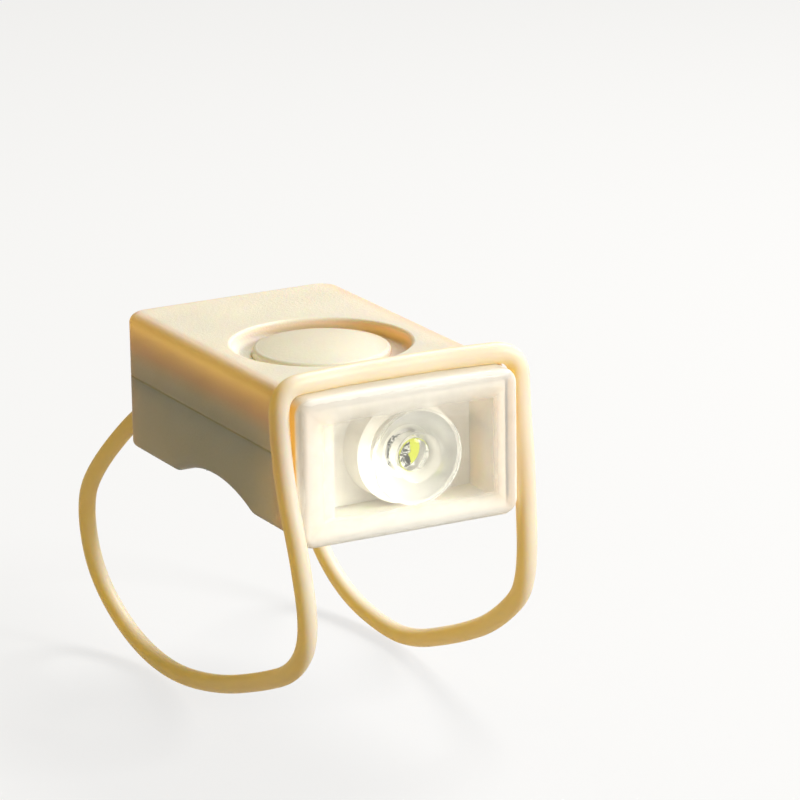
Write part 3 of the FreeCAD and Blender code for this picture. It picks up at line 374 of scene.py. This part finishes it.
def moulded_plastic(name, colour, grain, depth, glow):
    """Matte moulded plastic with a fine grain and light under its surface, and a warm translucent glow whose
    strength is painted by place: along the edges, on the shaded left side and in the rear right of the dish.
    """
    finish = Finish(name, Specular_IOR_Level=0.42, Subsurface_Weight=0.35, Subsurface_Scale=glow,
                    Subsurface_Radius=(1.0, 0.35, 0.1))
    specks = finish.noise(grain, 3.0, 0.62)
    patches = finish.noise(11 * MM, 3.0)
    tone = finish.plus(finish.times(patches, 0.5), finish.times(specks, 0.5))
    finish.mottled(colour, 0.05, tone)
    finish.uneven(finish.noise(4 * MM, 4.0), 0.44, 0.54)
    finish.bump(specks, depth)
    finish.bump(finish.noise(6 * MM, 1.0), 0.03 * MM, 0.6)
    # Painted glow and shade: the warm light let through is real, but its share is set by place. It brightens
    # the edges and the shaded left side and gives the rear right of the dish a warm painted shade.
    thin = painted_glow_places(finish)
    warm = finish.ramp(thin, (0.0, (1.0, 0.82, 0.42)), (0.4, (1.0, 0.62, 0.30)), (1.0, (1.0, 0.79, 0.37)))
    finish.let_through(warm, finish.range(thin, 0.0, 1.0, 0.28, 0.72))
    return finish.material


def about_optic(finish, x, z):
    """Offset to the right of the optic's axis, and distance from the axis."""
    across = finish.minus(x, OPTIC_MIDDLE.x)
    return across, finish.distance(across, finish.minus(z, OPTIC_MIDDLE.z))


def clear_plastic(name, tint, glow):
    """Polished clear plastic of the optic, with a painted white reflection on its flank. On the floor of its
    hollow a picture of the lamp is painted, a yellow window beside dark broken tracks, with a faint painted
    glow."""
    flank_depth = 0.88 * MM
    groove_radius = 3.1 * MM
    painted_reflection_share = 0.6
    hollow_radius = 1.66 * MM
    hollow_depth = 4.5 * MM
    window_side = 0.8 * MM
    window_wobble = 1.2 * MM
    finish = Finish(name, Base_Color=tint, Transmission_Weight=1.0, IOR=CLEAR_INDEX)
    finish.uneven(finish.noise(3 * MM), 0.015, 0.06, low=0.35)
    finish.bump(finish.noise(5 * MM, 1.0), 0.02 * MM, 0.5)
    x, y, z = finish.axes()
    across, radius = about_optic(finish, x, z)
    behind = finish.minus(y, OPTIC_LOW.y)
    flank = finish.times(finish.over(behind, flank_depth), finish.over(radius, groove_radius))
    # Painted reflection: the flank is covered in part with plain white.
    finish.cover(finish.times(flank, painted_reflection_share),
                 finish.light("ShaderNodeBsdfDiffuse", Color=opaque((0.90, 0.89, 0.85))))
    # Painted image of the lamp as seen through the optic, with a faint painted glow, on the floor of the
    # hollow; it hides the lamp pieces behind it.
    side = finish.plus(across, finish.drift(finish.noise(0.6 * MM, 4.0, 0.75), window_wobble))
    broken = finish.ramp(finish.noise(0.7 * MM, 4.0, 0.8, distortion=1.5),
                         (0.53, grey(0.012)), (0.56, (0.80, 0.80, 0.76)))
    painted_lamp_image = finish.colours(finish.over(side, window_side), broken, opaque(glow))
    lamp = finish.added(finish.light("ShaderNodeBsdfDiffuse", Color=painted_lamp_image),
                        finish.light("ShaderNodeEmission", Color=painted_lamp_image, Strength=0.06))
    finish.cover(finish.times(finish.under(radius, hollow_radius), finish.over(behind, hollow_depth)), lamp)
    finish.clear_to_lamps(opaque((0.96, 0.96, 0.94)))
    return finish.material


def milky_walls(name, haze, tint):
    """Clear plastic of the cap: polished in its window, milky in the walls round it, with a painted bright
    rim along its front edge and a painted amber reflection of the band on its sides behind the front edge."""
    border = (-5.5 * MM, -1.0 * MM)
    border_cloud = 0.9 * MM
    band_reflection_side = (-1.1 * MM, -0.2 * MM)
    band_reflection_depth = (0.8 * MM, 1.3 * MM)
    painted_rim_side = (-1.0 * MM, -0.5 * MM)
    painted_rim_depth = (0.6 * MM, 1.0 * MM)
    finish = Finish(name, Base_Color=tint, IOR=CLEAR_INDEX, Roughness=0.04, Transmission_Weight=1.0)
    finish.bump(finish.noise(5 * MM, 1.0), 0.02 * MM, 0.5)
    x, y, z = finish.axes()
    middle_z = (CAP_LOW.z + CAP_HIGH.z) / 2
    across = finish.minus(finish.math("ABSOLUTE", x), CAP_HIGH.x)
    level = finish.minus(finish.math("ABSOLUTE", finish.minus(z, middle_z)), CAP_HIGH.z - middle_z)
    behind = finish.minus(y, CAP_LOW.y)
    edge = finish.plus(finish.most(across, level), finish.drift(finish.noise(3 * MM, 3.0), border_cloud))
    wall = finish.ramp(finish.range(edge, *border), (0.0, grey(0.03)), (0.45, grey(0.16)),
                       (0.72, grey(0.50)), (1.0, grey(haze)))
    # Painted highlight: the front edge turns fully milky so that it looks lit.
    rim = finish.times(finish.range(edge, *painted_rim_side), finish.range(behind, *painted_rim_depth, 1.0, 0.0))
    share = finish.most(wall, rim)
    # Painted reflection: the sides behind the front edge take the amber of the band beside them.
    amber = finish.times(finish.range(across, *band_reflection_side), finish.range(behind, *band_reflection_depth))
    tone = finish.ramp(amber, (0.0, (1.0, 0.99, 0.95)), (1.0, (0.98, 0.60, 0.13)))
    milk = finish.light("ShaderNodeBsdfTranslucent", Color=tone)
    chalk = finish.light("ShaderNodeBsdfDiffuse", Color=tone)
    finish.cover(share, finish.mixed(0.65, milk, chalk))
    finish.clear_to_lamps(finish.ramp(share, (0.0, (0.95, 0.94, 0.90)), (0.6, (0.60, 0.54, 0.43))))
    return finish.material


def silicone(name, colour, glow):
    """Soft translucent silicone with a satin skin."""
    finish = Finish(name, Specular_IOR_Level=0.35, Subsurface_Weight=0.3, Subsurface_Scale=2 * MM,
                    Subsurface_Radius=(1.0, 0.45, 0.12))
    finish.mottled(colour, 0.03, finish.noise(8 * MM, 3.0))
    finish.uneven(finish.noise(2 * MM, 3.0), 0.34, 0.46)
    finish.bump(finish.noise(0.5 * MM, 3.0), 0.01 * MM)
    finish.bump(finish.noise(3 * MM), 0.03 * MM, 0.5)
    finish.let_through(opaque(glow), 0.38)
    return finish.material


def black_rubber(name, colour, grain=0.4 * MM):
    """Matte rubber with a fine skin and a little dust in it."""
    finish = Finish(name, Specular_IOR_Level=0.3, Sheen_Weight=0.08, Sheen_Roughness=0.5)
    finish.mottled(colour, 0.25, finish.noise(1.5 * MM, 5.0), low=0.35)
    finish.uneven(finish.noise(1 * MM, 4.0), 0.6, 0.78)
    finish.bump(finish.noise(grain, 4.0, 0.6), 0.02 * MM)
    return finish.material


def plain_plastic(name, colour, roughness, grain=0.4 * MM):
    """Small moulded part of solid plastic."""
    finish = Finish(name, Specular_IOR_Level=0.45)
    finish.mottled(colour, 0.05, finish.noise(2 * MM, 3.0))
    finish.uneven(finish.noise(1.2 * MM, 3.0), roughness - 0.06, roughness + 0.06)
    finish.bump(finish.noise(grain), 0.006 * MM)
    return finish.material


def brushed_metal(name, colour, roughness, across=(1.0, 40.0, 40.0)):
    """Metal with faint stains and fine parallel lines, which are narrow along the axes scaled up."""
    finish = Finish(name, Metallic=1.0)
    lines = finish.noise(4 * MM, 4.0, 0.6, scale=across)
    finish.mottled(colour, 0.08, finish.noise(3 * MM, 4.0), high=0.75)
    finish.uneven(lines, roughness - 0.07, roughness + 0.09)
    finish.bump(lines, 0.004 * MM)
    return finish.material


def circuit_board(name, colour):
    """Solder resist over copper tracks."""
    finish = Finish(name, Specular_IOR_Level=0.5, Coat_Weight=0.4, Coat_Roughness=0.12)
    track_light = 1.9
    tracks = finish.node("ShaderNodeTexBrick", Vector=finish.where(), Scale=420.0, Mortar_Size=0.04,
                         Color1=opaque(shades(colour, 0.1)[0]), Color2=opaque(colour),
                         Mortar=opaque(min(1.0, channel * track_light) for channel in colour))
    finish.fill(finish.shader.inputs["Base Color"], tracks.outputs["Color"])
    finish.uneven(finish.noise(1 * MM, 3.0), 0.26, 0.36)
    finish.bump(tracks.outputs["Fac"], 0.03 * MM, 0.7)
    return finish.material


def lamp_square(name, colour):
    """Granular yellow layer of the lamp, with a painted glow of its own."""
    # Painted glow: the yellow layer gives off a little light of its own.
    finish = Finish(name, Roughness=0.4, Subsurface_Weight=0.3, Subsurface_Scale=0.3 * MM,
                    Emission_Color=colour, Emission_Strength=0.35)
    finish.mottled(colour, 0.12, finish.noise(0.2 * MM, 3.0))
    finish.bump(finish.noise(0.08 * MM), 0.01 * MM)
    return finish.material


def lamp_base(name, white, glow, dark):
    """White body of the lamp, with a round yellow window and dark broken tracks beside it."""
    window_edge = (1.50 * MM, 1.58 * MM)
    track_edge = (-0.2 * MM, 0.1 * MM)
    finish = Finish(name, Roughness=0.35)
    x, _, z = finish.axes()
    across, radius = about_optic(finish, x, z)
    body = finish.colours(finish.range(radius, *window_edge, 1.0, 0.0), opaque(white), opaque(glow))
    broken = finish.range(finish.noise(0.5 * MM, 3.0, 0.7), 0.47, 0.50)
    left = finish.range(across, *track_edge, 1.0, 0.0)
    tracks = finish.colours(finish.times(broken, left), body, opaque(dark))
    finish.fill(finish.shader.inputs["Base Color"], tracks)
    finish.bump(finish.noise(0.3 * MM), 0.008 * MM)
    return finish.material


def dress(material, *names):
    """Give CAD solids a material."""
    for name in names:
        slots = NODES[name].data.materials
        slots.clear()
        slots.append(material)


# Mesh tools

def mesh_piece(name, verts, faces, material, body="root"):
    """A smooth-shaded mesh that rides on a body."""
    mesh = bpy.data.meshes.new(name)
    mesh.from_pydata(verts, [], faces)
    mesh.validate()
    mesh.update()
    mesh.shade_smooth()
    mesh.materials.append(material)
    piece = bpy.data.objects.new(name, mesh)
    bpy.context.scene.collection.objects.link(piece)
    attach(piece, body)
    return piece


def clean_up(piece):
    """Delete the points that no face uses and turn all faces outwards."""
    mesh = bmesh.new()
    mesh.from_mesh(piece.data)
    loose = [vertex for vertex in mesh.verts if not vertex.link_faces]
    bmesh.ops.delete(mesh, geom=loose, context="VERTS")
    bmesh.ops.recalc_face_normals(mesh, faces=mesh.faces)
    mesh.to_mesh(piece.data)
    mesh.free()


def turned_piece(name, profile, centre, material, sides=120, sharp=math.radians(32)):
    """A piece turned about an axis along Y. The profile starts and ends on the axis, and its points give
    the distance from the axis and the depth, in metres. Turns over the sharp angle stay crisp."""
    verts = [(centre.x, profile[0][1], centre.z), (centre.x, profile[-1][1], centre.z)]
    rings = profile[1:-1]
    for step in range(sides):
        angle = 2 * math.pi * step / sides
        for radius, depth in rings:
            verts.append((centre.x + radius * math.cos(angle), depth, centre.z + radius * math.sin(angle)))
    count = len(rings)
    faces = []
    for step in range(sides):
        here = 2 + step * count
        there = 2 + (step + 1) % sides * count
        faces.append((0, here, there))
        faces.append((1, there + count - 1, here + count - 1))
        for k in range(count - 1):
            faces.append((here + k, here + k + 1, there + k + 1, there + k))
    piece = mesh_piece(name, verts, faces, material)
    piece.data.set_sharp_from_angle(angle=sharp)
    return piece


def arc_points(start, end, bulge, steps):
    """Points between two points of a profile, pushed out from the straight line by the bulge."""
    run = (end[0] - start[0], end[1] - start[1])
    length = math.hypot(*run)
    out = (run[1] / length, -run[0] / length)
    points = []
    for k in range(1, steps):
        share = k / steps
        push = 4 * bulge * share * (1 - share)
        points.append((start[0] + run[0] * share + out[0] * push, start[1] + run[1] * share + out[1] * push))
    return points


def smooth_line(points, steps):
    """Points of a closed curve that touches the middle of each run between the points."""
    curve = bpy.data.curves.new("BandLine", "CURVE")
    curve.dimensions = "3D"
    curve.resolution_u = steps
    spline = curve.splines.new("NURBS")
    spline.points.add(len(points) - 1)
    for place, point in zip(spline.points, points):
        place.co = (*point, 1.0)
    spline.order_u = 3
    spline.use_cyclic_u = True
    carrier = bpy.data.objects.new("BandLine", curve)
    mesh = bpy.data.meshes.new_from_object(carrier)
    line = [vertex.co.copy() for vertex in mesh.vertices]
    bpy.data.objects.remove(carrier)
    bpy.data.meshes.remove(mesh)
    bpy.data.curves.remove(curve)
    return line


def closed_tube(line, section, count):
    """Sweep a section round a closed line without twist. section(step, angle) gives the radius at a share
    of the line's length and an angle round it."""
    total = len(line)
    tangents = [(line[(i + 1) % total] - line[i - 1]).normalized() for i in range(total)]
    side = tangents[0].orthogonal().normalized()
    sides = [side]
    for i in range(1, total):
        side = tangents[i - 1].rotation_difference(tangents[i]) @ side
        side = (side - tangents[i] * side.dot(tangents[i])).normalized()
        sides.append(side)
    last = tangents[-1].rotation_difference(tangents[0]) @ sides[-1]
    twist = math.atan2(last.cross(sides[0]).dot(tangents[0]), last.dot(sides[0]))
    verts = []
    for i in range(total):
        one = Matrix.Rotation(twist * i / total, 3, tangents[i]) @ sides[i]
        two = tangents[i].cross(one)
        for k in range(count):
            angle = 2 * math.pi * k / count
            reach = section(i / total, angle)
            verts.append(line[i] + (one * math.cos(angle) + two * math.sin(angle)) * reach)
    faces = []
    for i in range(total):
        after = (i + 1) % total
        for k in range(count):
            near = (k + 1) % count
            faces.append((i * count + k, i * count + near, after * count + near, after * count + k))
    return verts, faces


# Optic

def optic_profile():
    """Half section of the optic: a domed rod in the middle, a groove round it, a slightly hollow face, a rim,
    a curved flank and a hollow over the lamp. Its points are in millimetres from the axis and the face."""
    rod_top = (2.0, 1.15)
    face_start = (3.15, 0.0)
    face_end = (5.85, 0.0)
    flank_start = (5.65, 0.9)
    flank_end = (2.75, 6.35)
    points = [(0.0, 0.7)] + arc_points((0.0, 0.7), rod_top, 0.12, 8)
    points += [rod_top, (2.1, 1.3), (2.14, 4.5), (2.3, 4.62), (2.45, 4.5), (2.95, 0.25), (3.02, 0.08)]
    points += [face_start] + arc_points(face_start, face_end, -0.10, 8)
    points += [face_end, (5.95, 0.04), (6.0, 0.15), (6.0, 0.8), (5.94, 0.9)]
    points += [flank_start] + arc_points(flank_start, flank_end, 0.5, 12)
    points += [flank_end, (2.65, 6.4), (1.85, 6.4), (1.8, 6.35), (1.7, 4.75), (1.65, 4.7), (0.0, 4.7)]
    return [(radius * MM, OPTIC_LOW.y + depth * MM) for radius, depth in points]


# Band, in millimetres

BAND_GAP = 0.1
# Start of the top run, as distance from the middle and back from the clear front
TOP_RUN = [
    (2.0, 3.8),
    (5.5, 3.8),
]
# Bend from the top run into a strand, as distance in from the strand, back from the front and down
SHOULDER = [
    (6.8, 3.4, 0.0),
    (0.0, 2.6, 0.0),
    (0.0, 2.3, 6.8),
]
# The strand on each side, as distance out, back from the clear front and up from the underside
LEFT_ROUTE = [
    (0.0, 0.9, 6.0),
    (0.0, -2.2, -1.0),
    (0.0, -4.6, -10.0),
    (0.0, -0.5, -15.8),
    (-0.2, 9.0, -19.9),
    (-0.4, 22.0, -24.4),
]
RIGHT_ROUTE = [
    (0.0, 1.3, 5.5),
    (0.0, 0.9, -2.4),
    (0.0, 0.8, -6.2),
    (-0.1, 1.1, -9.5),
    (-0.1, 2.4, -12.5),
    (-0.4, 5.9, -15.7),
    (-0.4, 10.5, -18.7),
    (-0.6, 15.7, -21.1),
    (-0.6, 21.0, -23.2),
    (-0.6, 28.5, -25.9),
]
# The last stretch of both sides, with the distance back from the rear face
REAR_ROUTE = [
    (-0.6, -13.3, -27.0),
    (-0.6, -1.3, -25.5),
    (-0.4, 8.2, -20.0),
    (-0.2, 10.7, -12.5),
    (0.1, 7.9, -6.0),
]
# The run in the hook, as distances from the middle, and its height over the underside
HOOK_RUN = (12.0, 9.0, 4.0)
HOOK_HEIGHT = 3.5
# Points of the line from one control point to the next
LINE_STEPS = 14


def half_route(side, route, radius):
    """Control points of one half of the band, from the middle of its top run to its hook, in metres."""
    gap = radius + BAND_GAP * MM
    strand = CASE_HIGH.x + gap
    top = CASE_HIGH.z + gap
    front = CAP_LOW.y
    rear = CASE_HIGH.y
    base = CASE_LOW.z
    points = [Vector((side * out * MM, front + back * MM, top)) for out, back in TOP_RUN]
    for inward, back, drop in SHOULDER:
        points.append(Vector((side * (strand - inward * MM), front + back * MM, top - drop * MM)))
    for start, stretch in ((front, route), (rear, REAR_ROUTE)):
        for out, back, up in stretch:
            points.append(Vector((side * (strand + out * MM), start + back * MM, base + up * MM)))
    for out in HOOK_RUN:
        points.append(Vector((side * out * MM, rear + gap, base + HOOK_HEIGHT * MM)))
    return points


# Pad, in metres

PAD_RADIUS = 24.8 * MM
PAD_THICKNESS = PAD_HIGH.z - 0.02 * MM
PAD_CORNER = 2.0 * MM
PAD_BORDER = (1.2 * MM, 1.5 * MM)    # where the grooves start and where they are full, from the edge
PAD_CELLS = (64, 56)
# Height of each layer as a share of the thickness, and its size as a share of the outline
PAD_LAYERS = [
    (0.0, 0.985),
    (0.06, 1.0),
    (0.94, 1.0),
    (1.0, 0.985),
]


def pad_outline(u, v):
    """A point of the pad seen from above, with its four corners rounded. u and v go from -1 to 1."""
    x = u * PAD_HIGH.x
    y = v * PAD_HIGH.y
    over_x = abs(x) - (PAD_HIGH.x - PAD_CORNER)
    over_y = abs(y) - (PAD_HIGH.y - PAD_CORNER)
    if over_x > 0 and over_y > 0:
        scale = max(over_x, over_y) / math.hypot(over_x, over_y)
        x = math.copysign(PAD_HIGH.x - PAD_CORNER + over_x * scale, x)
        y = math.copysign(PAD_HIGH.y - PAD_CORNER + over_y * scale, y)
    return x, y


def pad_groove(x, y, pitch, depth):
    """Depth of the grooves between the ribs, which stop short of the pad's edge."""
    edge = min(PAD_HIGH.x - abs(x), PAD_HIGH.y - abs(y))
    start, full = PAD_BORDER
    inside = max(0.0, min(1.0, (edge - start) / (full - start)))
    wave = 0.5 - 0.5 * math.cos(2 * math.pi * x / pitch)
    return depth * inside * wave ** 3


def pad_mesh(pitch, depth):
    """Points and faces of the pad: a grid of points for each layer, a skin below and above, and walls."""
    across, along = PAD_CELLS
    row = across + 1
    verts = []
    for height, share in PAD_LAYERS:
        radius = PAD_RADIUS + PAD_THICKNESS * height
        for j in range(along + 1):
            for i in range(row):
                x, y = (share * place for place in pad_outline(2 * i / across - 1, 2 * j / along - 1))
                groove = pad_groove(x, y, pitch, depth) if height == 0.0 else 0.0
                verts.append((x, y, math.sqrt((radius + groove) ** 2 - y * y) - PAD_RADIUS))
    starts = range(0, len(verts), row * (along + 1))
    faces = []
    for start, flip in ((starts[0], True), (starts[-1], False)):
        for j in range(along):
            for i in range(across):
                first = start + j * row + i
                quad = (first, first + 1, first + row + 1, first + row)
                faces.append(quad[::-1] if flip else quad)
    border = list(range(across))
    border += [j * row + across for j in range(along)]
    border += [along * row + i for i in range(across, 0, -1)]
    border += [j * row for j in range(along, 0, -1)]
    for low, high in zip(starts, starts[1:]):
        for near, after in zip(border, border[1:] + border[:1]):
            faces.append((low + near, low + after, high + after, high + near))
    return verts, faces


# Studio, in metres

AIM = (0.0, 0.0, 6 * MM)
KEY_PLACE = (0.30, 0.18, 0.41)
KEY_SIZE = 0.20
KEY_COLOUR = (1.0, 0.99, 0.97)
FRONT_PLACE = (0.345, -0.385, 0.26)
FRONT_SIZE = 0.24
FLOOR_REACH = 3.0
FLOOR_GAP = 0.2 * MM
FLOOR_SEEN = 0.76     # how bright the floor looks to the camera and in reflections, on top of its lit colour
SKY_SEEN = 0.95       # how bright the sky looks to the camera
SENSOR_WIDTH = 36.0   # in millimetres, as the lens is


def area_lamp(name, place, power, size, colour):
    """A soft round lamp that points at the middle of the light."""
    data = bpy.data.lights.new(name, "AREA")
    data.energy = power
    data.shape = "DISK"
    data.size = size
    data.color = colour
    lamp = bpy.data.objects.new(name, data)
    lamp.location = place
    lamp.rotation_euler = (Vector(AIM) - Vector(place)).to_track_quat("-Z", "Y").to_euler()
    bpy.context.scene.collection.objects.link(lamp)


def floor_paint(colour):
    """Matte paint with extra brightness that only the camera and reflections see."""
    finish = Finish("FloorPaint", Base_Color=colour, Roughness=0.9, Specular_IOR_Level=0.1)
    path = finish.tree.nodes.new("ShaderNodeLightPath").outputs
    seen = finish.most(path["Is Camera Ray"], path["Is Glossy Ray"])
    seen = finish.most(seen, path["Is Transmission Ray"])
    light = finish.light("ShaderNodeEmission", Color=opaque(WHITE), Strength=finish.times(seen, FLOOR_SEEN))
    finish.fill(finish.output, finish.added(finish.shader.outputs[0], light))
    return finish.material


def studio_floor(colour):
    """A plain floor just under the band."""
    level = BAND_LOW.z - FLOOR_GAP
    corners = [(-1, -1), (1, -1), (1, 1), (-1, 1)]
    mesh = bpy.data.meshes.new("Floor")
    mesh.from_pydata([(x * FLOOR_REACH, y * FLOOR_REACH, level) for x, y in corners], [], [(0, 1, 2, 3)])
    mesh.materials.append(floor_paint(colour))
    floor = bpy.data.objects.new("Floor", mesh)
    bpy.context.scene.collection.objects.link(floor)


def studio_sky(colour, strength):
    """Even light from all round, which looks white to the camera and through clear plastic."""
    world = bpy.data.worlds.new("Sky")
    world.use_nodes = True
    bpy.context.scene.world = world
    sky = Nodes(world.node_tree)
    path = sky.tree.nodes.new("ShaderNodeLightPath").outputs
    seen = sky.most(path["Is Camera Ray"], path["Is Transmission Ray"])
    back = sky.tree.nodes["Background"]
    sky.fill(back.inputs["Color"], sky.colours(seen, opaque(colour), opaque(WHITE)))
    sky.fill(back.inputs["Strength"], sky.range(seen, 0.0, 1.0, strength, SKY_SEEN))


def studio_camera(lens, place, turn):
    """The camera, which becomes the scene's own."""
    data = bpy.data.cameras.new("Camera")
    data.lens = lens
    data.sensor_width = SENSOR_WIDTH
    data.clip_start = 0.01
    data.clip_end = 20.0
    camera = bpy.data.objects.new("Camera", data)
    camera.location = place
    camera.rotation_euler = Euler(turn)
    bpy.context.scene.collection.objects.link(camera)
    bpy.context.scene.camera = camera


class HEADLIGHT_OT_studio(bpy.types.Operator):
    """Set up the floor, the lamps, the sky and the camera"""
    bl_idname = "headlight.studio"
    bl_label = "Studio"

    def execute(self, context):
        looks = context.scene.headlight_studio
        studio_floor(looks.floor_colour)
        studio_sky(looks.sky_colour, looks.sky_strength)
        area_lamp("KeyLamp", KEY_PLACE, looks.key_power, KEY_SIZE, KEY_COLOUR)
        area_lamp("FrontLamp", FRONT_PLACE, looks.front_power, FRONT_SIZE, WHITE)
        studio_camera(looks.lens, looks.camera_place, looks.camera_turn)
        context.scene.view_settings.view_transform = "Standard"
        return {"FINISHED"}


class HEADLIGHT_OT_case(bpy.types.Operator):
    """Dress the two shells of the case and the push button"""
    bl_idname = "headlight.case"
    bl_label = "Case and button"

    def execute(self, context):
        looks = context.scene.headlight_case
        case = moulded_plastic("CreamCase", looks.case_colour, looks.grain, looks.grain_depth,
                               looks.glow_depth)
        button = moulded_plastic("CreamButton", looks.button_colour, looks.grain,
                                 looks.grain_depth * looks.button_grain, looks.glow_depth)
        dress(case, "upper_shell", "lower_shell")
        dress(button, "push_button")
        return {"FINISHED"}


class HEADLIGHT_OT_lamp(bpy.types.Operator):
    """Dress the clear cap, the optic with its holder, and the lamp"""
    bl_idname = "headlight.lamp"
    bl_label = "Cap and lamp"

    def execute(self, context):
        looks = context.scene.headlight_lamp
        dress(milky_walls("ClearCap", looks.haze, looks.cap_tint), "front_cap")
        clear = clear_plastic("ClearOptic", looks.optic_tint, looks.glow_colour)
        optic = turned_piece("clear_optic", optic_profile(), OPTIC_MIDDLE, clear)
        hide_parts("collimator_lens")
        dress(plain_plastic("WhiteHolder", looks.holder_colour, 0.45), "lens_holder")
        dress(plain_plastic("WhiteBoard", looks.board_colour, 0.35), "led_board")
        dress(lamp_base("LampBase", looks.base_colour, looks.glow_colour, grey(0.03)), "led_package")
        dress(lamp_square("LampSquarePaintedGlow", looks.glow_colour), "led_phosphor")
        return {"FINISHED"}


class HEADLIGHT_OT_inside(bpy.types.Operator):
    """Dress the cells, contacts, boards, seals, wires and screws"""
    bl_idname = "headlight.inside"
    bl_label = "Inside"

    def execute(self, context):
        dress(black_rubber("BlackSeal", grey(0.02)), "cap_gasket", "case_gasket", "button_seal")
        dress(brushed_metal("SteelCell", (0.62, 0.63, 0.64), 0.3), "battery_lower", "battery_upper")
        dress(brushed_metal("NickelStrip", (0.70, 0.67, 0.60), 0.28, (40.0, 1.0, 40.0)),
              "lower_contact", "upper_contact")
        dress(brushed_metal("TinnedLead", (0.72, 0.72, 0.70), 0.2), "chip_leads", "switch_terminals")
        dress(brushed_metal("ZincScrew", (0.56, 0.57, 0.58), 0.3, (30.0, 30.0, 1.0)),
              "case_screws", "board_screws")
        dress(circuit_board("GreenBoard", (0.02, 0.15, 0.06)), "main_board")
        dress(plain_plastic("ChipBlack", (0.025, 0.025, 0.027), 0.5), "driver_chip")
        dress(plain_plastic("CoilGrey", (0.07, 0.07, 0.075), 0.6, 0.2 * MM), "power_inductor")
        dress(plain_plastic("CapacitorTan", (0.36, 0.23, 0.12), 0.35), "chip_capacitors")
        dress(plain_plastic("ResistorBlack", (0.02, 0.02, 0.022), 0.3), "chip_resistors")
        dress(plain_plastic("TrayBlack", (0.05, 0.05, 0.055), 0.55), "battery_tray")
        dress(plain_plastic("SwitchBlack", grey(0.03), 0.4), "tactile_switch")
        dress(plain_plastic("PlungerRed", (0.45, 0.05, 0.04), 0.4), "switch_plunger")
        dress(black_rubber("RedWire", (0.45, 0.02, 0.02)), "lead_positive")
        dress(black_rubber("BlackWire", grey(0.015)), "lead_negative")
        return {"FINISHED"}


class HEADLIGHT_OT_band(bpy.types.Operator):
    """Make the silicone band along its route"""
    bl_idname = "headlight.band"
    bl_label = "Silicone band"

    def execute(self, context):
        looks = context.scene.headlight_band
        left = half_route(-1, LEFT_ROUTE, looks.band_radius)
        right = half_route(1, RIGHT_ROUTE, looks.band_radius)
        line = smooth_line(left[::-1] + right, LINE_STEPS)
        skin = 0.01 * MM
        ridge_height = 0.02 * MM
        ridge_width = 0.06
        wave_height = 0.008 * MM
        waves = 9

        def section(step, angle):
            """Radius of the band, with the fine raised line of its mould on both sides."""
            half = angle / 2 - math.pi / 4
            off_line = min(abs(math.sin(half)), abs(math.cos(half)))
            ridge = ridge_height * math.exp(-(off_line / ridge_width) ** 2)
            wave = wave_height * math.sin(2 * math.pi * waves * step) * math.cos(angle)
            stretch = 1 - looks.taper * (0.5 + 0.5 * math.cos(2 * math.pi * step))
            return (looks.band_radius - skin) * stretch + ridge + wave

        verts, faces = closed_tube(line, section, looks.sides)
        rubber = silicone("CreamSilicone", looks.band_colour, looks.band_glow)
        band = mesh_piece("silicone_band", verts, faces, rubber)
        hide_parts("mounting_band")
        return {"FINISHED"}


class HEADLIGHT_OT_pad(bpy.types.Operator):
    """Make the rubber pad in the hollow under the case"""
    bl_idname = "headlight.pad"
    bl_label = "Saddle pad"

    def execute(self, context):
        looks = context.scene.headlight_pad
        verts, faces = pad_mesh(looks.rib_pitch, looks.rib_height)
        pad = mesh_piece("rubber_pad", verts, faces, black_rubber("PadRubber", looks.pad_colour, 0.5 * MM))
        clean_up(pad)
        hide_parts("saddle_pad")
        return {"FINISHED"}


class HEADLIGHT_PT_panel(bpy.types.Panel):
    """Sizes, colours and steps of the headlight"""
    bl_idname = "HEADLIGHT_PT_panel"
    bl_label = "Headlight"
    bl_space_type = "VIEW_3D"
    bl_region_type = "UI"
    bl_category = "Headlight"

    def draw(self, context):
        for group in GROUPS:
            looks = getattr(context.scene, group)
            column = self.layout.column(align=True)
            for name in looks.__annotations__:
                column.prop(looks, name)
        for operator in OPERATORS:
            self.layout.operator(operator.bl_idname)


GROUPS = {
    "headlight_studio": StudioLooks,
    "headlight_case": CaseLooks,
    "headlight_lamp": LampLooks,
    "headlight_band": BandLooks,
    "headlight_pad": PadLooks,
}
OPERATORS = (
    HEADLIGHT_OT_studio,
    HEADLIGHT_OT_case,
    HEADLIGHT_OT_lamp,
    HEADLIGHT_OT_inside,
    HEADLIGHT_OT_band,
    HEADLIGHT_OT_pad,
)
CLASSES = (*GROUPS.values(), *OPERATORS, HEADLIGHT_PT_panel)


def register():
    """Add the properties, operators and panel."""
    for item in CLASSES:
        bpy.utils.register_class(item)
    for name, group in GROUPS.items():
        setattr(bpy.types.Scene, name, PointerProperty(type=group))


def unregister():
    """Take away the properties, operators and panel."""
    for name in GROUPS:
        delattr(bpy.types.Scene, name)
    for item in reversed(CLASSES):
        bpy.utils.unregister_class(item)


def main():
    """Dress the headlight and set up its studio."""
    register()
    bpy.ops.headlight.studio()
    bpy.ops.headlight.case()
    bpy.ops.headlight.lamp()
    bpy.ops.headlight.inside()
    bpy.ops.headlight.band()
    bpy.ops.headlight.pad()


if __name__ == "__main__":
    main()
